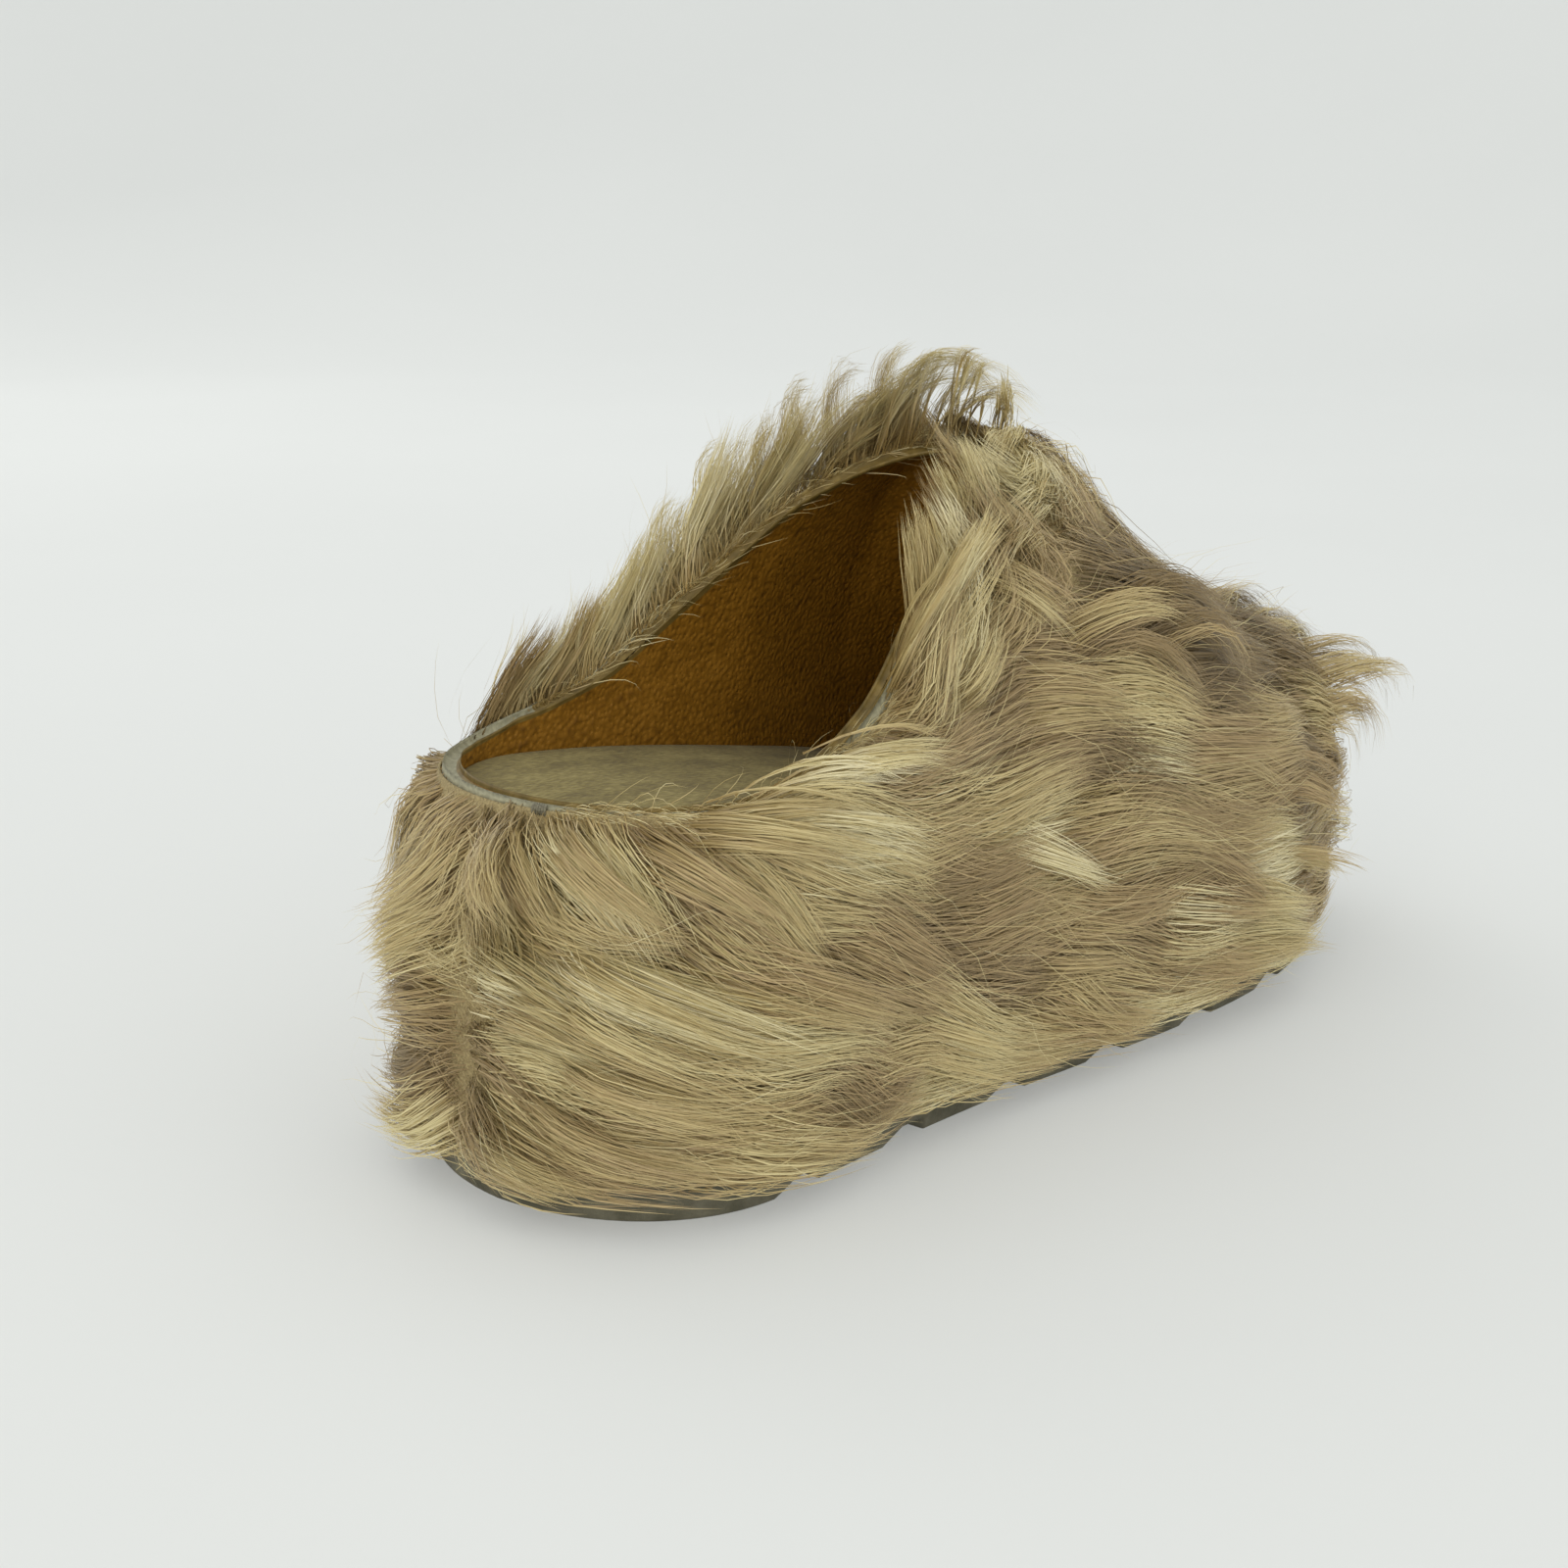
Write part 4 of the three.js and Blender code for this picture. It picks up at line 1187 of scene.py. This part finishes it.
def ribbon_piece(name, line, out, width, tone, t):
    """One mesh of ribbons: at each point but the last a left and a right edge, square to the
    hair and turned about it, and one point at the tip."""
    count, points = line.shape[:2]
    parts = points - 1
    ahead = unit(np.gradient(line, axis=1))
    aside = unit(np.cross(out[:, None, :], ahead))
    turned = chance.uniform(-0.5, 0.5, count)[:, None, None]
    aside = np.cos(turned) * aside + np.sin(turned) * np.cross(ahead, aside)
    half = width[:, None] / 2 * (1 - 0.8 * t[None, :] ** 2.2)
    left = (line - aside * half[..., None])[:, :parts]
    right_edge = (line + aside * half[..., None])[:, :parts]
    vertices = np.concatenate([left, right_edge, line[:, parts:]], 1)
    first = (np.arange(count) * (2 * parts + 1))[:, None]
    k = np.arange(parts - 1)
    quads = np.stack([k, parts + k, parts + k + 1, k + 1], -1).ravel()
    shape = np.concatenate([quads, [parts - 1, 2 * parts - 1, 2 * parts]])
    corners = (first + shape[None, :]).ravel()
    sizes = np.tile(np.append(np.full(parts - 1, 4), 3), count)
    v_of = np.concatenate([t[:parts], t[:parts], t[parts:]])[shape]
    uv = np.stack([np.repeat(tone, len(shape)), np.tile(v_of, count)], -1)
    piece = new_piece(name, vertices.reshape(-1, 3), corners, sizes, uv * 0.98 + 0.01, [hair])
    return dressed(piece, "fur")


# Lighter and darker patches of the coat, partly its own tone and partly painted light and
# painted shade: mm from the heel, across, up, reach in mm, change.
tone_and_shade_patches = [
    # light, partly painted light: under the lateral edge, the waves below it, the brush, the
    # throat's curls, seen on their shaded side, and the medial side, which faces away from the
    # lamps
    (46, -46, 75, 15, 0.5),
    (102, -49, 51, 13, 0.5),
    (0, -20, 48, 10, 0.45),
    (6, -40, 42, 12, 0.45),
    (30, -51, 32, 12, 0.4),
    (80, -50, 16, 16, 0.4),
    (182, -56, 27, 17, 0.3),
    (90, -40, 100, 13, 0.3),
    (124, -24, 122, 15, 0.35),
    (140, 8, 138, 14, 0.4),
    (95, 40, 104, 45, 0.4),
    # dark, partly painted shade: the deep furrow of the swirl, under the low collar, the toe's
    # crown, the waist, the hem, the seam
    (155, -45, 86, 21, -0.65),
    (12, -43, 57, 10, -0.25),
    (38, -49, 50, 14, -0.2),
    (180, -36, 80, 22, -0.3),
    (200, -50, 56, 20, -0.3),
    (214, -14, 84, 26, -0.3),
    (78, -51, 38, 18, -0.32),
    (122, -55, 36, 22, -0.28),
    (42, -49, 17, 12, -0.28),
    (0, 4, 42, 10, -0.1),
]


def patch_tone_and_shade(points):
    """The sum of the patches of tone and painted light and shade, each a Gaussian of its reach."""
    at = points + [heel_tread_centre, 0, 0]
    place = np.array(tone_and_shade_patches, float)
    square = ((at[:, None, :] - place[None, :, :3]) ** 2).sum(-1)
    return np.exp(-square / place[:, 3] ** 2) @ place[:, 4]


per_guide, lock_spread = 24, 3.2
clump = chance.uniform(0.1, 0.7, guide_count)
line, guide, t = hairs_of(guides, cell, per_guide, lock_spread, clump, fullness)
out = hide_normal[cell][guide]
# A leader's tone: slow waves and chance, which the coat has, and painted light and shade by layer:
# leaders lying higher in the coat are lighter, the deeper ones darker.
lead_tone = 0.5 + 0.12 * ripple(lead_root, 70, 1.0) + 0.1 * ripple(lead_root, 24, 2.0)
lead_tone += chance.normal(0, 0.13, leader_count) + 0.3 * (lead_layer - 0.65)
# Each lock adds the patches, with their painted light and shade, to its leader's tone.
lock_tone = lead_tone[leader] + patch_tone_and_shade(guides[:, 7]) + chance.normal(0, 0.06, guide_count)
tone = np.clip(lock_tone[guide] + chance.normal(0, 0.05, len(guide)), 0.1, 1)
width = hair_width * chance.uniform(0.6, 1.15, len(guide))
print("hairs", line.shape)

# %% Pieces of fur
# The coat is split by where it roots, in mm from the heel and across, so that no piece grows
# past what a tool can carry.
vamp_from, lateral_below = 142, 4
from_heel = root[guide, 0] + heel_tread_centre
wrapped = hide_on_wrap[cell][guide]
lateral = root[guide, 1] < lateral_below
ahead = from_heel >= vamp_from
parts_of_coat = {
    "fur_wrap_lateral": wrapped & lateral,
    "fur_wrap_medial": wrapped & ~lateral,
    "fur_quarter_lateral": ~wrapped & lateral & ~ahead,
    "fur_quarter_medial": ~wrapped & ~lateral & ~ahead,
    "fur_vamp_lateral": ~wrapped & lateral & ahead,
    "fur_vamp_medial": ~wrapped & ~lateral & ahead,
}
for name, chosen in parts_of_coat.items():
    ribbon_piece(name, line[chosen], out[chosen], width[chosen], tone[chosen], t)

# %% [markdown]
# ## Locks placed one by one
# The comb makes the calm part of the coat. The locks that break its outline are set one by
# one instead, because a blend of headings would average them away: the curls over the throat,
# the tufts behind the medial collar, those that hang off the toe, and the pale waves that
# cross the lateral side.

# %% Placed locks
# Root, a place half way, and tip, each as mm from the heel, across and up; then the width.
placed_locks = [
    # curls over the throat
    (134, 20, 123, 139, 22, 137, 147, 20, 145, 2),
    (134, 18, 124, 139, 10, 141, 152, 0, 136, 6),
    (139, 10, 127, 144, 4, 139, 149, -4, 134, 6),
    (139, 2, 129, 140, 0, 140, 140, -6, 141, 5),
    (130, 24, 121, 137, 20, 134, 147, 10, 139, 6),
    (137, 6, 129, 143, -2, 137, 147, -12, 131, 6),
    (132, 20, 124, 136, 14, 136, 141, 4, 141, 6),
    (136, 14, 126, 140, 12, 138, 143, 8, 142, 5),
    (139, -8, 128, 139, -10, 135, 132, -14, 136, 4),
    # behind the medial collar
    (128, 28, 117, 133, 31, 134, 142, 31, 139, 5),
    (120, 31, 115, 124, 36, 128, 133, 36, 133, 5),
    (110, 33, 110, 113, 36, 122, 121, 37, 129, 5),
    (97, 35, 102, 103, 38, 116, 112, 38, 124, 5),
    (84, 36, 94, 90, 40, 106, 98, 40, 113, 5),
    (74, 37, 88, 79, 40, 98, 88, 41, 106, 5),
    (62, 38, 80, 67, 41, 89, 76, 42, 96, 5),
    (50, 38, 75, 56, 42, 82, 65, 43, 86, 5),
    # over the lateral edge, into the opening
    (136, -17, 124, 130, -18, 129, 122, -20, 124, 4),
    (128, -26, 118, 123, -29, 123, 115, -31, 118, 4),
    # off the toe
    (224, -36, 62, 244, -42, 65, 258, -44, 52, 6),
    (214, -42, 56, 232, -46, 59, 241, -48, 45, 6),
    (230, -28, 68, 245, -36, 68, 260, -40, 56, 6),
    (208, -44, 52, 220, -48, 54, 227, -49, 40, 5),
    (216, -8, 78, 232, -12, 82, 251, -16, 72, 6),
    (231, -14, 72, 245, -18, 76, 258, -25, 62, 6),
    (238, -4, 70, 251, -6, 71, 259, -10, 58, 6),
    # along the lateral side of the toe
    (185, -49, 31, 193, -57, 32, 208, -60, 25, 5),
    (160, -51, 18, 176, -59, 18, 204, -60, 13, 6),
    (189, -47, 49, 197, -56, 49, 212, -58, 38, 5),
    # the swirl at the side of the vamp
    (133, -38, 89, 147, -47, 99, 178, -47, 80, 6),
    (141, -42, 83, 152, -50, 91, 176, -50, 73, 6),
    (125, -41, 83, 136, -49, 89, 153, -54, 72, 5),
    # off the toe's medial half, and again over the lateral edge
    (234, 12, 71, 247, 14, 74, 257, 16, 62, 6),
    (122, -30, 115, 117, -33, 119, 108, -35, 115, 4),
    (113, -34, 110, 108, -37, 114, 99, -39, 109, 4),
    # standing along the lateral edge
    (71, -38, 90, 75, -39, 103, 85, -38, 110, 5),
    (78, -39, 95, 82, -39, 108, 92, -38, 115, 5),
    (88, -39, 102, 91, -38, 112, 101, -36, 118, 4),
    (20, -38, 75, 32, -43, 77, 50, -47, 73, 4),
    (31, -39, 76, 42, -44, 80, 60, -48, 75, 4),
    (44, -41, 79, 55, -45, 82, 73, -48, 77, 4),
    # the pale waves across the lateral side
    (104, -36, 108, 106, -43, 103, 113, -48, 94, 5),
    (118, -40, 90, 130, -46, 98, 145, -49, 92, 5),
    (84, -42, 60, 101, -50, 52, 120, -54, 42, 6),
    (22, -40, 73, 39, -47, 72, 66, -49, 62, 6),
    (15, -34, 71, 26, -45, 71, 51, -49, 62, 5),
    (58, -43, 29, 75, -51, 21, 91, -53, 13, 6),
    (159, -50, 27, 173, -58, 28, 192, -59, 21, 6),
    # heel: the long wave from the seam, and the arcs under it
    (0, -4, 53, 6, -35, 48, 38, -52, 34, 6),
    (1, -12, 48, 3, -35, 44, 30, -51, 30, 6),
    (1, -14, 42, -2, -29, 40, 18, -49, 28, 6),
    (16, -36, 50, 32, -50, 42, 56, -53, 32, 6),
    (0, -10, 32, -1, -30, 29, 18, -49, 24, 6),
    (0, -8, 24, -3, -27, 18, 14, -47, 13, 6),
    (1, -2, 71, -8, -6, 64, -8, -14, 55, 4),
    (2, -12, 70, -1, -25, 66, 7, -39, 54, 5),
    (8, -26, 71, 11, -40, 66, 27, -48, 55, 5),
]
strands_per_lock, hairs_per_strand, strand_spread = 7, 20, 1.6
placed = np.repeat(np.array(placed_locks, float), strands_per_lock, axis=0)
placed[:, [0, 3, 6]] -= heel_tread_centre
fan = chance.normal(0, 1, (len(placed), 3)) * placed[:, 9:] / 2.5
begin = placed[:, 0:3] + fan
half_way = placed[:, 3:6] + 0.9 * fan + chance.normal(0, 0.8, fan.shape)
tip = placed[:, 6:9] + 0.6 * fan + chance.normal(0, 1.6, fan.shape)
placed_cell = nearest_hide(begin)
sunk = ((begin - hide_place[placed_cell]) * hide_normal[placed_cell]).sum(1, keepdims=True)
begin = begin - (sunk + 0.4) * hide_normal[placed_cell]
control = 2 * half_way - (begin + tip) / 2
t = np.linspace(0, 1, guide_steps + 1)[None, :, None]
curves = (1 - t) ** 2 * begin[:, None] + 2 * t * (1 - t) * control[:, None] + t**2 * tip[:, None]
lock_clump, full = np.full(len(curves), 0.55), np.ones(len(curves))
line, guide, t = hairs_of(
    curves, placed_cell, hairs_per_strand, strand_spread, lock_clump, full
)
# Placed locks take their tone from the patches, with their painted light and shade.
lock_tone = 0.56 + 0.8 * patch_tone_and_shade(half_way) + chance.normal(0, 0.09, len(curves))
tone = np.clip(lock_tone[guide] + chance.normal(0, 0.05, len(guide)), 0.1, 1)
width = hair_width * chance.uniform(0.5, 1.0, len(guide))
ribbon_piece("fur_placed_locks", line, hide_normal[placed_cell][guide], width, tone, t)

# %% Stray hairs
# Single fine hairs that left their locks, which soften the outline and cross the opening.
stray_count, stray_width = 1800, 0.12
stray_root, stray_cell = plant(stray_count)
strays = grow(
    stray_root, stray_cell, chance.uniform(0.8, 1.6, stray_count),
    combed(stray_root)[1] * chance.uniform(0.8, 1.3, stray_count),
    chance.uniform(0.2, 0.7, stray_count), chance.uniform(24, 50, stray_count), 0.35,
)
no_clump, full = np.zeros(stray_count), np.ones(stray_count)
line, guide, t = hairs_of(strays, stray_cell, 1, 0.1, no_clump, full)
stray_widths = np.full(stray_count, stray_width)
stray_tone = chance.uniform(0.4, 0.9, stray_count)
ribbon_piece("fur_strays", line, hide_normal[stray_cell], stray_widths, stray_tone, t)

# %% Hairs of the edge
# Short hairs leave the hide right at the topline and lie along it, so that the cut edge
# doesn't end in a clean line. One in twelve is long and leans over the opening. They stand
# from the two tacks on, in mm along the topline, and end before the throat.
edge_from, edge_until = {LATERAL: 9, MEDIAL: 66}, 178
last_edge_share = 0.54
edge_width = 0.17


def edge_hairs(side, count):
    """Root + t * length * heading, which droops by t squared, as (hair, point, xyz)."""
    share = share_at_run(side, chance.uniform(edge_from[side], edge_until, count))
    share = np.minimum(share, last_edge_share)
    below = bare_width[side](share * sole_length) + chance.uniform(-0.3, 1.5, count)
    root = upper_point(share, topline_turn(share, side, 0, below), side, 0)
    further = share + 2 / sole_length
    ahead = unit(upper_point(further, topline_turn(further, side, 0, below), side, 0) - root)
    out = np.tile([0.0, side, 0.0], (count, 1))
    long = chance.uniform(0, 1, count) < 1 / 12
    length = np.where(long, chance.uniform(9, 16, count), chance.uniform(3.5, 8, count))
    aside = np.where(long, chance.uniform(-0.9, 0.1, count), chance.uniform(-0.1, 0.7, count))
    upward = np.array([0.0, 0.0, 1.0]) * chance.uniform(-0.1, 0.7, (count, 1))
    heading = unit(ahead + aside[:, None] * out + upward)
    t = np.linspace(0, 1, hair_parts + 1)
    line = root[:, None] + t[None, :, None] * (length[:, None] * heading)[:, None]
    line[..., 2] -= 0.25 * length[:, None] * t[None, :] ** 2
    bow = chance.normal(0, 0.12, (count, 3)) * length[:, None]
    return line + bow[:, None] * (t * (1 - t))[None, :, None] * 4, out


edge_sides = [edge_hairs(LATERAL, 1300), edge_hairs(MEDIAL, 700)]
line, out = (np.concatenate(part) for part in zip(*edge_sides))
t = np.linspace(0, 1, hair_parts + 1)
edge_tone = chance.uniform(0.45, 0.9, len(line))
ribbon_piece("fur_of_the_edge", line, out, np.full(len(line), edge_width), edge_tone, t)

# %% [markdown]
# ## Studio
# A pale seamless sweep: a flat floor whose far rim curves up all round, so that every view
# ends on the same paper. The paper is lit a little from behind, as on a light table, and with
# three large soft lamps that leaves almost no shadow.

# %% Floor
flat_until, bend_run, bend_rise = 1500, 1000, 600


def sweep(radius, angle):
    """Flat to the bend's start, then a parabola up."""
    height = bend_rise * np.maximum(0, (radius - flat_until) / bend_run) ** 2
    return to_xyz(radius * np.cos(angle), radius * np.sin(angle), height)


radius = np.concatenate([[0.5], np.linspace(100, 3200, 40)])[:, None]
angle = np.linspace(0, 2 * np.pi, 97)[None, :]
grid = sweep(radius, angle)
faces = grid_faces(*grid.shape[:2])
paper, tree, shader = new_material("seamless_paper", Roughness=0.9)
shader.inputs["Emission Color"].default_value = linear("#f4f6f4")
shader.inputs["Emission Strength"].default_value = 0.26
where = add(tree, "TexCoord").outputs["Object"]
mottle = add(tree, "TexNoise", {"Vector": where, "Scale": per_metre(400), "Detail": 3.0})
paper_stops = [(0.3, "#bcbdba"), (0.7, "#bfc0bd")]
paper_colour = add(tree, "ValToRGB", {"Fac": mottle.outputs["Fac"]}, stops=paper_stops)
tree.links.new(paper_colour.outputs["Color"], shader.inputs["Base Color"])
corner_counts = np.full(len(faces), 4)
floor = new_piece("floor", grid.reshape(-1, 3), faces.ravel(), corner_counts, materials=[paper])


# %% Lights
def area_light(name, place, target, size, power, colour):
    """A square lamp that faces a target."""
    data = bpy.data.lights.new(name, "AREA")
    data.size, data.energy, data.color = size, power, linear(colour)[:3]
    lamp = bpy.data.objects.new(name, data)
    bpy.context.scene.collection.objects.link(lamp)
    backward = unit(np.array(place) - np.array(target))
    sideways = unit(np.cross([0, 0, 1.0], backward))
    lamp.matrix_world = matrix_of(sideways, np.cross(backward, sideways), backward, place)


target = (0.1, 0, 0.05)
area_light("key", (-1.2, -0.7, 0.55), target, 1.0, 6, "#fffaf0")
area_light("fill", (0.1, -1.5, 0.35), target, 1.2, 2, "#ffffff")
area_light("rim", (0.5, 1.3, 0.9), target, 1.0, 3, "#ffffff")
world = bpy.data.worlds.new("studio")
world.use_nodes = True
background = world.node_tree.nodes["Background"]
background.inputs["Color"].default_value = linear("#eef1f2")
background.inputs["Strength"].default_value = 1.08
bpy.context.scene.world = world
bpy.context.scene.view_settings.view_transform = "Standard"

# %% Platform foam on the wedge that stays
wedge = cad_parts["platform"]
wedge.data.materials.clear()
wedge.data.materials.append(foam)
